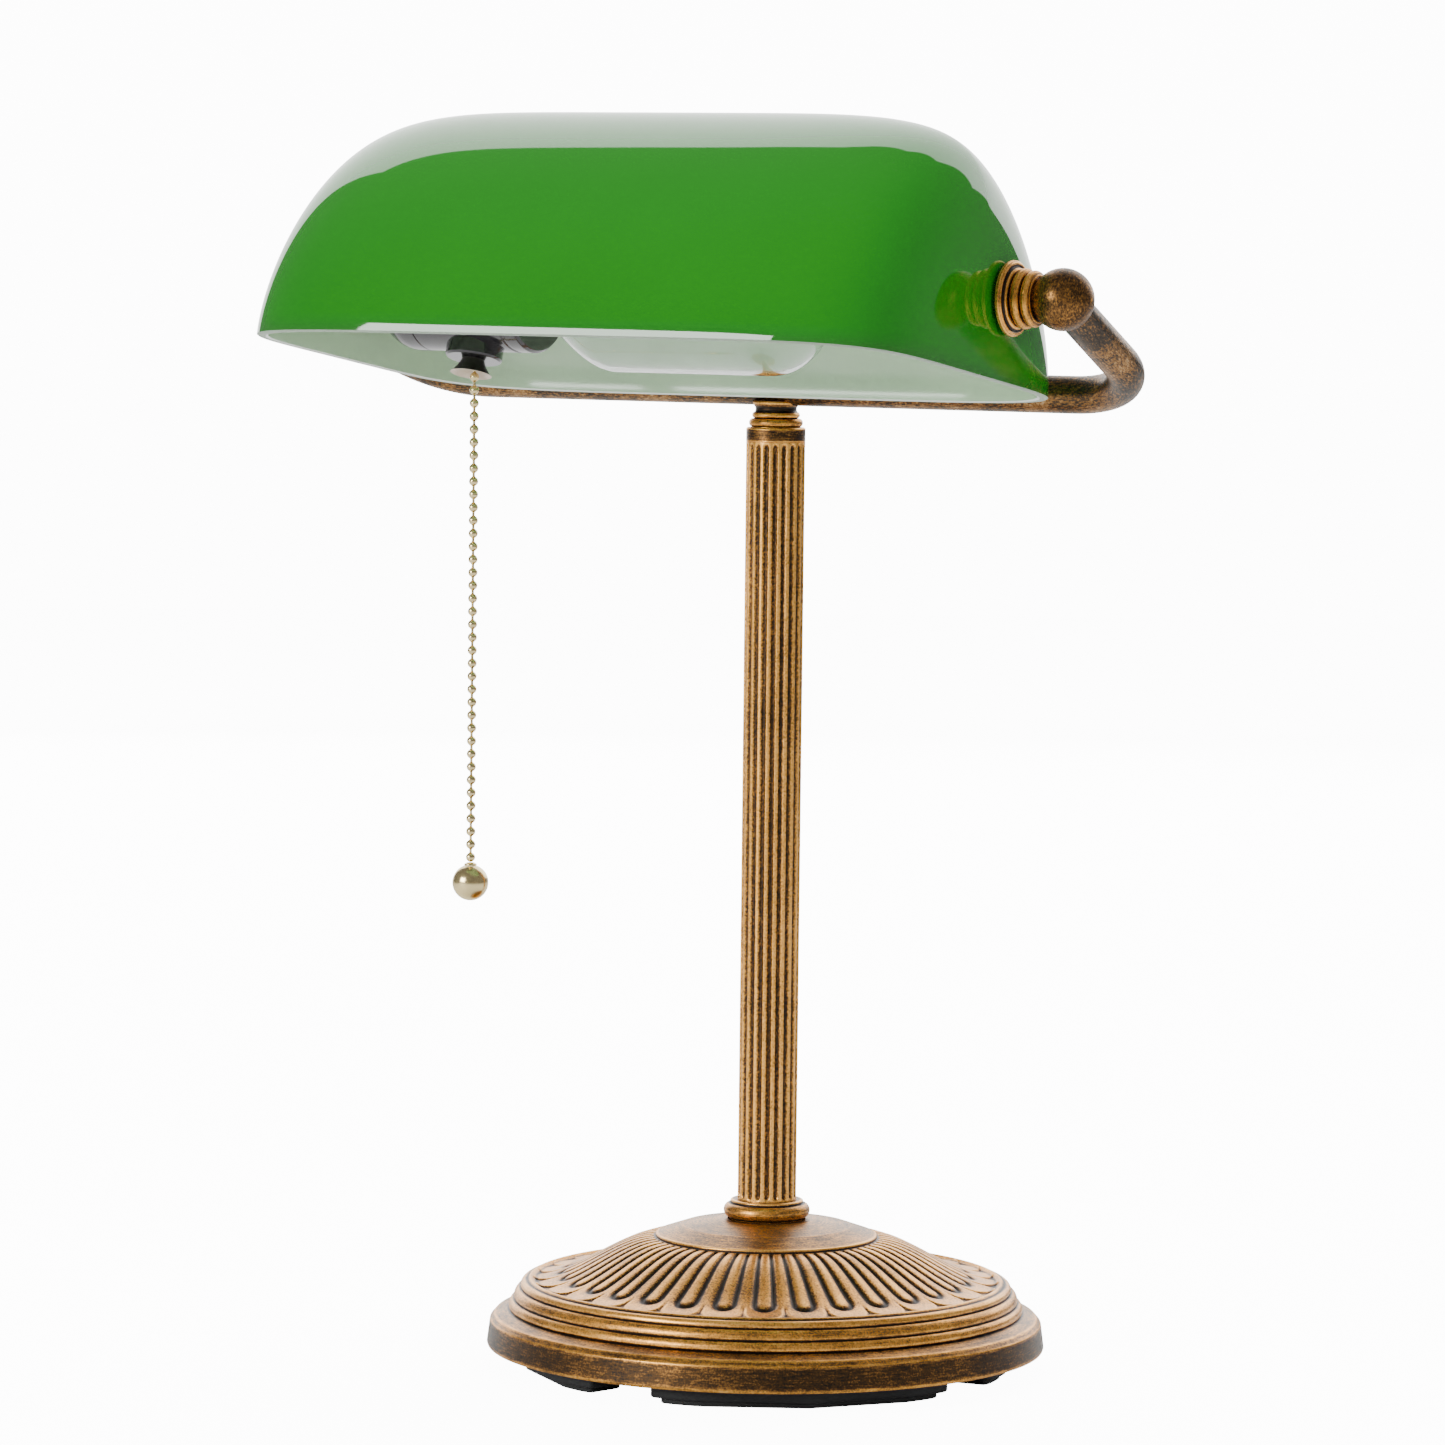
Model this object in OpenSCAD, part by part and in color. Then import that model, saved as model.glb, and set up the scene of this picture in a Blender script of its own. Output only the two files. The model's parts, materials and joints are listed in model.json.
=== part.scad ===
// Banker desk lamp: a fluted bronze stem on a petalled cast base carries a bent tube yoke.
// A green glass shade tilts between the yoke's two ball ends, over a horizontal bulb with a pull chain.
// +Z is up, X runs along the shade and -Y is the front. The origin is on the table, under the stem.

/* [Base] */
// Radius of the base at its lower edge
base_r = 94; // [86:1:115]
// Height of the casting's lower edge above the table
base_z = 7.3; // [6.5:0.1:9]
// Height of the casting, from its lower edge to the stem's seat
base_h = 42.9; // [40:0.1:52]
// Wall of the casting
base_wall = 3; // [2.5:0.1:3.5]
// Radius of the sloping disc under the stem
skirt_r = 37.3; // [30:0.1:45]

/* [Feet] */
// Bearing of the first foot, measured from the front towards the right
foot_bearing = 37; // [0:1:90]
// Angle that each foot spans
foot_span = 70; // [50:1:76]
// Outer radius of each foot's sole
sole_r = 81.5; // [76:0.5:83]
// Radial width of each sole
sole_w = 15; // [10:0.5:18]
// Thickness of the sole below its flange
sole_h = 2.1; // [1.5:0.1:3]
// How far the flange stands out past the sole
flange_lip = 2.5; // [1:0.1:3]

/* [Ballast and cover] */
// Thickness of the bottom cover
cover_t = 1.2; // [1:0.1:1.6]
// Height of the cover's underside above the table
cover_z = 7.8; // [7.4:0.1:8]
// Radius of the ballast disc
ballast_r = 72; // [60:1:74]
// Thickness of the ballast disc
ballast_t = 11; // [6:0.5:12]
// Radius of the pitch circle of the cover screws
screw_pcd_r = 81; // [79:0.5:82]
// Radius of a cover screw's shank
screw_r = 1.9; // [1.5:0.1:2.2]

/* [Cord outlet] */
// Radius of the bore in the cord grommet
cord_r = 2.6; // [2:0.1:2.7]
// Height of the cord outlet's axis above the table
cord_z = 12.5; // [12.3:0.1:12.8]

/* [Stem] */
// Radius of the fluted pole
pole_r = 10; // [9:0.5:13]
// Height of the pole's foot above the table
pole_z = 56.8; // [54:0.1:72]
// Length of the fluted pole
pole_h = 255.2; // [180:0.2:310]
// Number of flutes
flutes = 20; // [16:1:24]
// Depth of a flute
flute_cut = 0.8; // [0.4:0.1:1]
// Wall of the pole between a flute and its bore
pole_wall = 0.8; // [0.6:0.1:1.4]
// Radius of the collar at the pole's foot
foot_collar_r = 14.6; // [14:0.1:18]
// Height of the plain band on top of the pole
band_h = 4.8; // [3:0.1:8]
// Height of the turned neck's rings, from the band to the yoke's tube
neck_h = 7.3; // [6.5:0.1:12]
// Radius of the threaded tie rod
rod_r = 4.9; // [4.5:0.1:5.5]
// Radius of the tie rod's wire passage
rod_bore_r = 3.2; // [2.5:0.1:3.6]

/* [Yoke] */
// Radius of the yoke's tube
tube_r = 6.2; // [5.4:0.1:7]
// Wall of the yoke's tube
tube_wall = 1.2; // [0.8:0.1:1.6]
// Distance from the lamp's middle to the centre of each end ball
yoke_half = 138; // [130:1:170]
// How far the pivots stand in front of the bar
pivot_reach = 66; // [60:1:80]
// How far the pivots stand above the bar
pivot_rise = 32; // [26:1:40]
// Bend radius of the tube's centreline
bend_r = 27; // [20:1:34]
// Radius of an end ball
ball_r = 10; // [9:0.1:12]

/* [Pivots] */
// Radius of the seat flange beside the glass
flange_r = 12.1; // [11:0.1:14]
// Thickness of the seat flange
flange_t = 3.2; // [2:0.1:3.4]
// Radius of the ringed collar's larger ring
ring_r = 9.7; // [8:0.1:10.5]
// Radius of the threaded pivot nipples
nipple_r = 4.85; // [4.5:0.05:5]
// Radius of the wire passage through the nipples
nipple_bore_r = 3; // [2:0.1:3.2]
// Across-flats size of the lock nuts
nut_flats = 15; // [13:0.5:17]
// Thickness of the lock nuts
nut_t = 3.4; // [2.5:0.1:3.5]
// Thickness of the steel washers inside the shade
washer_t = 1; // [0.8:0.1:1.5]

/* [Shade] */
// Half length of the glass shade
shade_x = 118.3; // [100:0.1:123]
// Half depth of the shade at its rim
shade_y = 77.4; // [60:0.1:77.5]
// Height of the shade above its rim plane
shade_h = 82.5; // [70:0.1:100]
// Thickness of the glass
glass_t = 3; // [2.5:0.1:4]
// How square the shade is lengthwise: 2 is an ellipse, more is squarer
end_power = 5.8; // [4:0.1:8]
// How full the shade's arch is: 2 is an ellipse, less is more pointed
arch_power = 1.6; // [1.5:0.05:2.2]
// How far the pivot holes lie behind the middle of the rim
pivot_back = 14.6; // [12:0.1:18]
// How far the pivot holes lie above the rim plane
pivot_up = 26.2; // [22:0.1:32]
// How far the front edge is raised at rest
rest_tilt = 8.5; // [7:0.1:12]
// Radius of the pivot holes in the glass
glass_hole_r = 6.8; // [6.5:0.1:7]

/* [Socket] */
// Radius of the socket's shell
socket_r = 21; // [20.5:0.1:23]
// Wall of the socket's cap and shell
socket_wall = 1.6; // [1.2:0.1:1.8]
// Length of the domed cap
cap_l = 15; // [13:0.5:17]
// Length of the shell
shell_l = 40; // [39:0.5:44]
// Angle of the chain guide, forward of straight down
guide_lean = 16.5; // [10:0.5:20]
// Distance from the socket's axis to the guide's mouth
guide_out = 29.3; // [28:0.1:31]
// Radius of the guide's mouth
mouth_r = 6.9; // [6.5:0.1:8]

/* [Bulb] */
// Radius of the bulb's glass tube
bulb_r = 26.5; // [22:0.5:27]
// Distance from the socket's mouth to the tip of the bulb
bulb_l = 103; // [90:1:110]
// Length of the bulb's tapered shoulder
shoulder_l = 31; // [24:1:36]
// Wall of the bulb's glass
bulb_wall = 0.8; // [0.6:0.1:1.2]

/* [Pull chain] */
// Radius of a chain bead
bead_r = 1.55; // [1.3:0.05:1.6]
// Distance between two beads
bead_pitch = 4.3; // [4:0.1:4.6]
// Number of beads that hang below the guide
beads = 40; // [20:1:42]
// Radius of the wire between the beads
link_r = 0.45; // [0.35:0.05:0.6]
// Radius of the ball at the chain's end
knob_r = 6; // [5:0.25:8]
// How far the chain pulls out
pull_travel = 6; // [4:0.5:6]

/* [Hidden] */
$fn = 96;

// Clearances
fit_gap = 0.1;
running_gap = 0.05;
body_gap = 0.3;
cut = 1;

bronze = "#6b5136";
brass = "#d8c48a";
steel = "silver";
black = "#242424";

// ---- Base outline, as [how far inside base_r, how far above base_z] ----
seat_z = base_z + base_h;
seat_r = 15.5;
seat_t = 4.2;
rim_outline = [[0.3, 0], [0, 0.6], [1, 8.5], [2.6, 10.3]];
bead_edges = [[7.6, 12.1], [9.2, 15.5], [11.4, 19.2], [13.4, 21.6]];
lip_outline = [[14.4, 22.4], [15.4, 22.6]];
dome_inset = 16.6;
dome_edge_h = 22;
bead_bulge = 0.7;
bead_steps = 5;
dome_steps = 12;
dome_r = base_r - dome_inset;
dome_z = base_z + dome_edge_h;
skirt_step = 1.2;
skirt_z = seat_z - 5;
dome_rise = skirt_z - skirt_step - dome_z;
bevel_w = 8.8;
bevel_top = 2.2;

function placed(points) = [for (p = points) [base_r - p[0], base_z + p[1]]];
function smooth(t) = t * t * (3 - 2 * t);
function dome_height(r) = dome_z + dome_rise * smooth((dome_r - r) / (dome_r - skirt_r));
function dome_points(drop) = [
    for (i = [0 : dome_steps])
        let (r = dome_r + (skirt_r - dome_r) * i / dome_steps)
        [r, dome_height(r) - drop]
];
// Points of a rounded bead from a to b, standing out by the bulge
function bead_points(a, b) =
    let (d = b - a, side = [d[1], -d[0]] / norm(d))
    [
        for (i = [0 : bead_steps - 1])
            let (t = i / bead_steps)
            a + d * t + side * bead_bulge * 4 * t * (1 - t)
    ];
bead_corners = placed(bead_edges);
moulding = [
    for (i = [0 : len(bead_corners) - 2])
        each bead_points(bead_corners[i], bead_corners[i + 1])
];
casting_outline = concat(
    [[0, base_z]],
    placed(rim_outline),
    moulding,
    [bead_corners[len(bead_corners) - 1]],
    placed(lip_outline),
    dome_points(0),
    [
        [skirt_r, skirt_z],
        [skirt_r - bevel_w, seat_z - bevel_top],
        [seat_r, seat_z],
        [0, seat_z],
    ]
);
cavity_outline = concat(
    [
        [0, base_z - cut],
        [base_r - base_wall, base_z - cut],
        [base_r - base_wall - rim_outline[2][0], base_z + rim_outline[2][1] - base_wall / 2],
        [base_r - bead_edges[0][0] - base_wall, base_z + bead_edges[0][1] - base_wall],
        [base_r - lip_outline[0][0] - base_wall, dome_z - base_wall],
    ],
    [for (p = dome_points(base_wall)) if (p[0] < dome_r - base_wall - cut) p],
    [
        [skirt_r - bevel_w, seat_z - bevel_top - seat_t],
        [seat_r, seat_z - seat_t],
        [0, seat_z - seat_t],
    ]
);

grommet_neck = base_wall + 2;
grommet_bead_r = cord_r + 2;

// ---- Heights up the stem ----
rod_hole_r = rod_r + fit_gap;
pole_top = pole_z + pole_h;
band_top = pole_top + band_h;
bar_z = band_top + neck_h + tube_r;
pole_bore_r = pole_r - flute_cut - pole_wall;
spigot_l = 6;
washer_h = 2;
rod_nut_h = 6;
rod_nut_flats = 17;
rod_low = seat_z - seat_t - washer_h - rod_nut_h - 3;
rod_high = band_top + neck_h / 2;

// ---- Yoke and pivots ----
pivot_y = -pivot_reach;
pivot_z = bar_z + pivot_rise;
arm_l = norm([pivot_reach, pivot_rise]);
arm_angle = atan2(pivot_rise, pivot_reach);
tube_bore_r = tube_r - tube_wall;
arm_seat = 5.5;
ball_flat = ball_r * 0.81;
wire_r = 2.5;

// Places along the pivot axis, measured out from the lamp's middle
crown = 0.5;
grommet_t = 1;
grommet_out = shade_x + grommet_t;
grommet_in = shade_x - glass_t - crown - grommet_t;
flange_in = grommet_out + body_gap;
flange_out = flange_in + flange_t;
collar_out = yoke_half - ball_flat;
inner_washer_out = grommet_in - body_gap;
lock_nut_out = inner_washer_out - washer_t;
lock_nut_in = lock_nut_out - nut_t;
nipple_out = yoke_half - arm_seat + 2;
nipple_in = lock_nut_in - 5;
grommet_r = 8.6;
inner_washer_r = 9.5;

// ---- Shade ----
shade_rings = 40;
shade_arc = 24;
rim_mid_y = pivot_y - pivot_back * cos(rest_tilt) - pivot_up * sin(rest_tilt);
rim_mid_z = pivot_z + pivot_back * sin(rest_tilt) - pivot_up * cos(rest_tilt);

// ---- Socket, measured from the lamp's middle towards the left end ----
cap_out = lock_nut_in - 1;
shell_out = cap_out - cap_l;
shell_in = shell_out - shell_l;
cap_neck_r = 11;
lip_l = 3;
core_r = socket_r - socket_wall - fit_gap - 0.2;
core_out = shell_out - 1;
core_in = shell_in + socket_wall + 2 * fit_gap;
mouth_hole_r = 14.6;
thread_r = 13.3;
thread_wall = 0.4;
core_bore_r = thread_r + thread_wall + fit_gap;
bulb_cap_r = thread_r - 0.3;

// ---- Switch, measured out from the socket's axis along the chain guide ----
guide_x = shell_out - 18.9;
boss_r = 9.5;
boss_out = 24.3;
neck_out_r = 3.4;
neck_in_r = 2.6;
neck_from = core_r - 1;
flare_from = 21.3;
mouth_wall = 0.5;
arm_tip_rest = 6;
arm_rod = 10.5;
arm_mid = arm_tip_rest + pull_travel / 2;
arm_half_angle = asin(pull_travel / 2 / arm_rod);
arm_side = arm_rod * cos(arm_half_angle);
arm_t = 1.2;
arm_w = 4.2;
arm_pin_r = 1.2;
chamber_in = neck_out_r + 0.4;
chamber_back = 5;
pin_grip = 3;
chamber_out = core_r + cut;
screw_out = guide_x - chamber_in - thread_wall - 0.4;
screw_l = screw_out - core_in;
bulb_end = screw_out - 3.2;
slot_w = 2.6;
top_ball_gap = 0.8;
top_ball_at = arm_tip_rest - arm_t / 2 - top_ball_gap - bead_r;
hang_at = 21.4;

// ---- Hanging chain ----
hang_y = pivot_y - hang_at * sin(guide_lean);
hang_z = pivot_z - hang_at * cos(guide_lean);
chain_l = (beads - 1) * bead_pitch;
coupling_h = 3.4;
coupling_r = 2.1;
knob_z = hang_z - chain_l - coupling_h - knob_r + 1;

// ---- Shared shapes ----

// A tube or disc along Z from z0 to z1
module tube(r_out, r_in, z0, z1) {
    difference() {
        translate([0, 0, z0]) cylinder(r = r_out, h = z1 - z0);
        if (r_in > 0) translate([0, 0, z0 - cut]) cylinder(r = r_in, h = z1 - z0 + 2 * cut);
    }
}

// A hexagonal nut along Z from z0 to z1
module hex_nut(flats, r_in, z0, z1) {
    difference() {
        translate([0, 0, z0]) cylinder(r = flats / sqrt(3), h = z1 - z0, $fn = 6);
        translate([0, 0, z0 - cut]) cylinder(r = r_in, h = z1 - z0 + 2 * cut);
    }
}

// Places a child, drawn along +Z out from the lamp's middle, on the right or left pivot
module on_pivot(side) {
    translate([0, pivot_y, pivot_z])
        mirror([side < 0 ? 1 : 0, 0, 0]) rotate([0, 90, 0]) children();
}

// Places a child, drawn along +Z, on the line of the chain guide
module on_guide() {
    translate([-guide_x, pivot_y, pivot_z]) rotate([180 - guide_lean, 0, 0]) children();
}

// Solid of one radius along the yoke's centreline
module yoke_path(r, extra) {
    translate([0, 0, bar_z]) rotate([-arm_angle, 0, 0]) {
        translate([-(yoke_half - bend_r), 0, 0]) rotate([0, 90, 0])
            cylinder(r = r, h = 2 * (yoke_half - bend_r));
        for (side = [0, 1]) mirror([side, 0, 0]) {
            translate([yoke_half - bend_r, -bend_r, 0])
                rotate_extrude(angle = 90) translate([bend_r, 0]) circle(r = r);
            translate([yoke_half, -bend_r, 0]) rotate([90, 0, 0])
                cylinder(r = r, h = arm_l - arm_seat - bend_r + extra);
        }
    }
}

// ---- Base ----
module screw_places() {
    for (i = [0 : 3]) rotate([0, 0, foot_bearing - 90 + 45 + i * 90])
        translate([screw_pcd_r, 0, 0]) children();
}

module base_casting() {
    boss_wall = 2.4;
    hole_depth = 7;
    color(bronze) difference() {
        union() {
            difference() {
                rotate_extrude() polygon(casting_outline);
                rotate_extrude() polygon(cavity_outline);
            }
            intersection() {
                rotate_extrude() polygon(casting_outline);
                screw_places() translate([0, 0, cover_z + cover_t])
                    cylinder(r = screw_r + boss_wall, h = base_h);
            }
        }
        translate([0, 0, base_z]) cylinder(r = rod_hole_r, h = base_h + cut);
        screw_places() translate([0, 0, cover_z]) cylinder(r = screw_r, h = cover_t + hole_depth);
        translate([0, 0, cord_z]) rotate([-90, 0, 0]) {
            cylinder(r = cord_r + 1 + fit_gap, h = base_r + cut);
            cylinder(r = grommet_bead_r + fit_gap, h = base_r - grommet_neck + 0.3);
        }
    }
}

module base_ballast() {
    color("#3c3c3e") tube(ballast_r, 20, cover_z + cover_t, cover_z + cover_t + ballast_t);
}

module base_cover() {
    color(black) difference() {
        tube(base_r - base_wall - 0.5, 0, cover_z, cover_z + cover_t);
        screw_places() translate([0, 0, cover_z - cut])
            cylinder(r = screw_r + fit_gap, h = cover_t + 2 * cut);
        translate([0, base_r - grommet_neck - 2, cord_z]) rotate([-90, 0, 0])
            cylinder(r = grommet_bead_r + 2 * fit_gap, h = base_wall + grommet_neck);
    }
}

module cover_screws() {
    head_h = 1.8;
    shank_l = cover_t + 6;
    color(steel) screw_places() union() {
        translate([0, 0, cover_z]) cylinder(r = screw_r, h = shank_l);
        difference() {
            translate([0, 0, cover_z - head_h]) cylinder(r = screw_r + 1.6, h = head_h);
            translate([0, 0, cover_z - head_h])
                cube([2 * screw_r, 0.8, head_h], center = true);
        }
    }
}

// A wedge in plan that keeps one span of a ring
module foot_sector(span, z0, z1, r0, r1) {
    translate([0, 0, z0]) rotate([0, 0, -span / 2])
        rotate_extrude(angle = span) translate([r0, 0]) square([r1 - r0, z1 - z0]);
}

module foot(index) {
    lip_angle = flange_lip / sole_r * 180 / PI;
    color(black) rotate([0, 0, foot_bearing - 90 + index * 90]) union() {
        foot_sector(foot_span, 0, sole_h, sole_r - sole_w, sole_r);
        foot_sector(
            foot_span + 2 * lip_angle, sole_h, cover_z,
            sole_r - sole_w - flange_lip, sole_r + flange_lip
        );
    }
}

module cord_grommet() {
    face_r = cord_r + 2.2;
    face_t = 1.4;
    bead_t = 1.2;
    color(black) translate([0, base_r, cord_z]) rotate([-90, 0, 0]) difference() {
        union() {
            translate([0, 0, -grommet_neck]) cylinder(r = cord_r + 1, h = grommet_neck + 0.2);
            cylinder(r = face_r, h = face_t);
            translate([0, 0, -grommet_neck - bead_t + 0.2]) cylinder(r = grommet_bead_r, h = bead_t);
        }
        translate([0, 0, -grommet_neck - bead_t - cut])
            cylinder(r = cord_r, h = grommet_neck + bead_t + face_t + 2 * cut);
    }
}

// ---- Stem ----
module foot_collar() {
    h = pole_z - seat_z;
    shoulder_r = foot_collar_r - 2.2;
    color(bronze) difference() {
        union() {
            rotate_extrude() polygon(concat(
                [[0, seat_z], [foot_collar_r - 1, seat_z]],
                [for (a = [-50 : 20 : 70])
                    [foot_collar_r - h * 0.38 * (1 - cos(a)), seat_z + h * (0.42 + 0.38 * sin(a))]],
                [[shoulder_r, seat_z + h * 0.8], [shoulder_r - 0.6, pole_z], [0, pole_z]]
            ));
            translate([0, 0, seat_z]) cylinder(r = pole_bore_r - fit_gap, h = h + spigot_l);
        }
        translate([0, 0, seat_z - cut]) cylinder(r = rod_hole_r, h = h + spigot_l + 2 * cut);
    }
}

module pole() {
    flute_r = 1.25;
    color(bronze) translate([0, 0, pole_z]) linear_extrude(pole_h) difference() {
        circle(r = pole_r);
        circle(r = pole_bore_r);
        for (i = [0 : flutes - 1]) rotate(i * 360 / flutes)
            translate([pole_r - flute_cut + flute_r, 0]) circle(r = flute_r, $fn = 24);
    }
}

module tie_rod() {
    color(steel) tube(rod_r, rod_bore_r, rod_low, rod_high);
}

module base_washer() {
    color(steel) tube(13, rod_hole_r, seat_z - seat_t - washer_h, seat_z - seat_t);
}

module base_nut() {
    top = seat_z - seat_t - washer_h;
    color(steel) hex_nut(rod_nut_flats, rod_hole_r, top - rod_nut_h, top);
}

module top_band() {
    color(bronze) difference() {
        union() {
            translate([0, 0, pole_top]) cylinder(r = pole_r, h = band_h);
            translate([0, 0, pole_top - spigot_l])
                cylinder(r = pole_bore_r - fit_gap, h = spigot_l + cut);
        }
        translate([0, 0, pole_top - spigot_l - cut])
            cylinder(r = rod_hole_r, h = spigot_l + band_h + 2 * cut);
    }
}

module neck() {
    ring_1 = pole_r - 0.9;
    ring_2 = pole_r - 1.9;
    waist = pole_r - 3;
    top = pole_r - 2.1;
    saddle_h = tube_r * 0.25;
    color(bronze) difference() {
        translate([0, 0, band_top]) rotate_extrude() polygon([
            [0, 0],
            [ring_1 - 0.4, 0],
            [ring_1, neck_h * 0.12],
            [ring_1, neck_h * 0.26],
            [ring_1 - 0.8, neck_h * 0.38],
            [ring_2, neck_h * 0.48],
            [ring_2, neck_h * 0.64],
            [waist, neck_h * 0.78],
            [waist, neck_h * 0.9],
            [top, neck_h * 1.1],
            [top, neck_h + saddle_h],
            [0, neck_h + saddle_h],
        ]);
        translate([-pole_r - cut, 0, bar_z]) rotate([0, 90, 0])
            cylinder(r = tube_r + running_gap, h = 2 * (pole_r + cut));
        translate([0, 0, band_top - cut]) cylinder(r = rod_hole_r, h = rod_high - band_top + cut);
        translate([0, 0, band_top]) cylinder(r = rod_bore_r, h = bar_z - band_top);
    }
}

// ---- Yoke ----
module yoke() {
    color(bronze) difference() {
        yoke_path(tube_r, 0);
        yoke_path(tube_bore_r, cut);
        translate([0, 0, bar_z - tube_r - cut]) cylinder(r = rod_bore_r, h = tube_r + cut);
    }
}

module end_ball(side) {
    seat = 2 * ball_r;
    color(bronze) mirror([side > 0 ? 1 : 0, 0, 0]) difference() {
        translate([-yoke_half, pivot_y, pivot_z]) rotate([0, 90, 0]) sphere(r = ball_r);
        on_pivot(-1) {
            translate([0, 0, yoke_half - seat]) cylinder(r = ball_r, h = seat - ball_flat);
            translate([0, 0, yoke_half - seat]) cylinder(r = nipple_r, h = nipple_out - yoke_half + seat);
        }
        translate([-yoke_half, pivot_y, pivot_z]) rotate([-90 - arm_angle, 0, 0]) {
            translate([0, 0, arm_seat]) cylinder(r = tube_r + running_gap, h = ball_r);
            cylinder(r = wire_r, h = ball_r);
        }
    }
}

// ---- Pivot hardware, the same on both sides ----
module ring_collar(side) {
    h = collar_out - flange_out;
    small_r = ring_r - 0.65;
    valley = ring_r - 1.7;
    color(bronze) on_pivot(side) difference() {
        translate([0, 0, flange_out]) rotate_extrude() polygon(concat(
            [[0, 0]],
            [for (a = [-60 : 20 : 60]) [valley + (ring_r - valley) * cos(a), h * (0.25 + 0.22 * sin(a))]],
            [for (a = [-60 : 20 : 60]) [valley + (small_r - valley) * cos(a), h * (0.73 + 0.22 * sin(a))]],
            [[valley - 0.6, h], [0, h]]
        ));
        translate([0, 0, flange_out - cut]) cylinder(r = nipple_r + running_gap, h = h + 2 * cut);
    }
}

module seat_flange(side) {
    h = flange_t;
    color(bronze) on_pivot(side) difference() {
        translate([0, 0, flange_in]) rotate_extrude() polygon([
            [0, 0],
            [flange_r - 0.4, 0],
            [flange_r, 0.4],
            [flange_r, h * 0.45],
            [flange_r - 0.7, h * 0.7],
            [ring_r + 0.2, h],
            [0, h],
        ]);
        translate([0, 0, flange_in - cut]) cylinder(r = nipple_r + running_gap, h = h + 2 * cut);
    }
}

module nipple(side) {
    color(brass) on_pivot(side) tube(nipple_r, nipple_bore_r, nipple_in, nipple_out);
}

module inner_washer(side) {
    color(steel) on_pivot(side)
        tube(inner_washer_r, nipple_r + fit_gap, lock_nut_out, inner_washer_out);
}

module lock_nut(side) {
    color(steel) on_pivot(side) hex_nut(nut_flats, nipple_r + running_gap, lock_nut_in, lock_nut_out);
}

module shade_grommet(side) {
    color(black) on_pivot(side) difference() {
        union() {
            translate([0, 0, grommet_in]) cylinder(r = glass_hole_r - fit_gap, h = grommet_out - grommet_in);
            translate([0, 0, grommet_in]) cylinder(r = grommet_r, h = grommet_t);
            translate([0, 0, shade_x]) cylinder(r = grommet_r, h = grommet_t);
        }
        translate([0, 0, grommet_in - cut])
            cylinder(r = nipple_r + running_gap, h = grommet_out - grommet_in + 2 * cut);
    }
}

// ---- Socket ----
module socket_cap() {
    r_in = socket_r - socket_wall;
    color(black) on_pivot(-1) difference() {
        rotate_extrude() polygon(concat(
            [[0, cap_out], [cap_neck_r, cap_out]],
            [for (a = [10 : 16 : 90])
                [cap_neck_r + (socket_r - cap_neck_r) * sin(a), cap_out - (cap_l - 4) * (1 - cos(a))]],
            [[socket_r, shell_out], [0, shell_out]]
        ));
        rotate_extrude() polygon(concat(
            [[0, cap_out - socket_wall], [cap_neck_r - 1, cap_out - socket_wall]],
            [for (a = [26 : 16 : 90])
                [
                    cap_neck_r - 1 + (r_in - cap_neck_r + 1) * sin(a),
                    cap_out - socket_wall - (cap_l - 4) * (1 - cos(a)),
                ]],
            [[r_in, shell_out - cut], [0, shell_out - cut]]
        ));
        translate([0, 0, shell_out]) cylinder(r = nipple_r + running_gap, h = cap_l + cut);
    }
}

module socket_shell() {
    r_in = socket_r - socket_wall;
    color(black) difference() {
        union() {
            on_pivot(-1) difference() {
                union() {
                    translate([0, 0, shell_in]) cylinder(r = socket_r, h = shell_l);
                    translate([0, 0, shell_out]) cylinder(r = r_in - fit_gap, h = lip_l);
                }
                translate([0, 0, shell_in + socket_wall])
                    cylinder(r = r_in - fit_gap - 1.1, h = shell_l + lip_l);
                translate([0, 0, shell_in - cut]) cylinder(r = mouth_hole_r, h = shell_l);
            }
            on_guide() translate([0, 0, r_in]) difference() {
                cylinder(r = boss_r, h = boss_out - r_in);
                translate([0, 0, boss_out - r_in - 1]) tube(boss_r + cut, boss_r - 1, 0, 1 + cut);
            }
        }
        on_guide() {
            cylinder(r = neck_out_r + fit_gap, h = guide_out);
            translate([0, 0, flare_from]) cylinder(r = neck_out_r + 0.6, h = guide_out - flare_from);
        }
        on_pivot(-1) translate([0, 0, shell_in + socket_wall])
            cylinder(r = r_in - fit_gap - 1.1, h = shell_l + lip_l);
    }
}

module socket_core() {
    r = core_r - 1.2;
    color("#d9d4c6") difference() {
        on_pivot(-1) difference() {
            tube(r, 0, core_in, core_out);
            translate([0, 0, core_in - cut]) cylinder(r = core_bore_r, h = screw_l + cut + thread_wall);
        }
        on_guide() translate([-chamber_back, -arm_side - 2.4, -1])
            cube([chamber_back + chamber_in, arm_side + 5.4, chamber_out]);
        switch_pin(pin_grip + cut);
        terminal_places() cylinder(r = 1.5 + fit_gap, h = 8);
    }
}

// The arm's pin, which crosses the chamber and grips the core behind it
module switch_pin(grip) {
    on_guide() translate([-chamber_back - grip, -arm_side, arm_mid]) rotate([0, 90, 0])
        cylinder(r = arm_pin_r, h = chamber_back + grip + chamber_in);
}

// The two wire terminals stand on the core's rear face, above the switch
module terminal_places() {
    for (y = [-7, 7]) translate([-core_out, pivot_y + y, pivot_z + 10]) rotate([0, 90, 0])
        translate([0, 0, 0]) children();
}

module terminal_screws() {
    head_h = 2;
    color(brass) terminal_places() union() {
        cylinder(r = 1.5, h = 6);
        translate([0, 0, -head_h]) difference() {
            cylinder(r = 3, h = head_h);
            translate([-3, -0.4, -cut]) cube([6, 0.8, cut + 0.7]);
        }
    }
}

module screw_shell() {
    color(brass) on_pivot(-1) difference() {
        tube(thread_r + thread_wall, 0, core_in, screw_out + thread_wall);
        translate([0, 0, core_in - cut]) cylinder(r = thread_r, h = screw_l + cut);
        cylinder(r = 6, h = screw_out + cut);
    }
}

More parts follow.
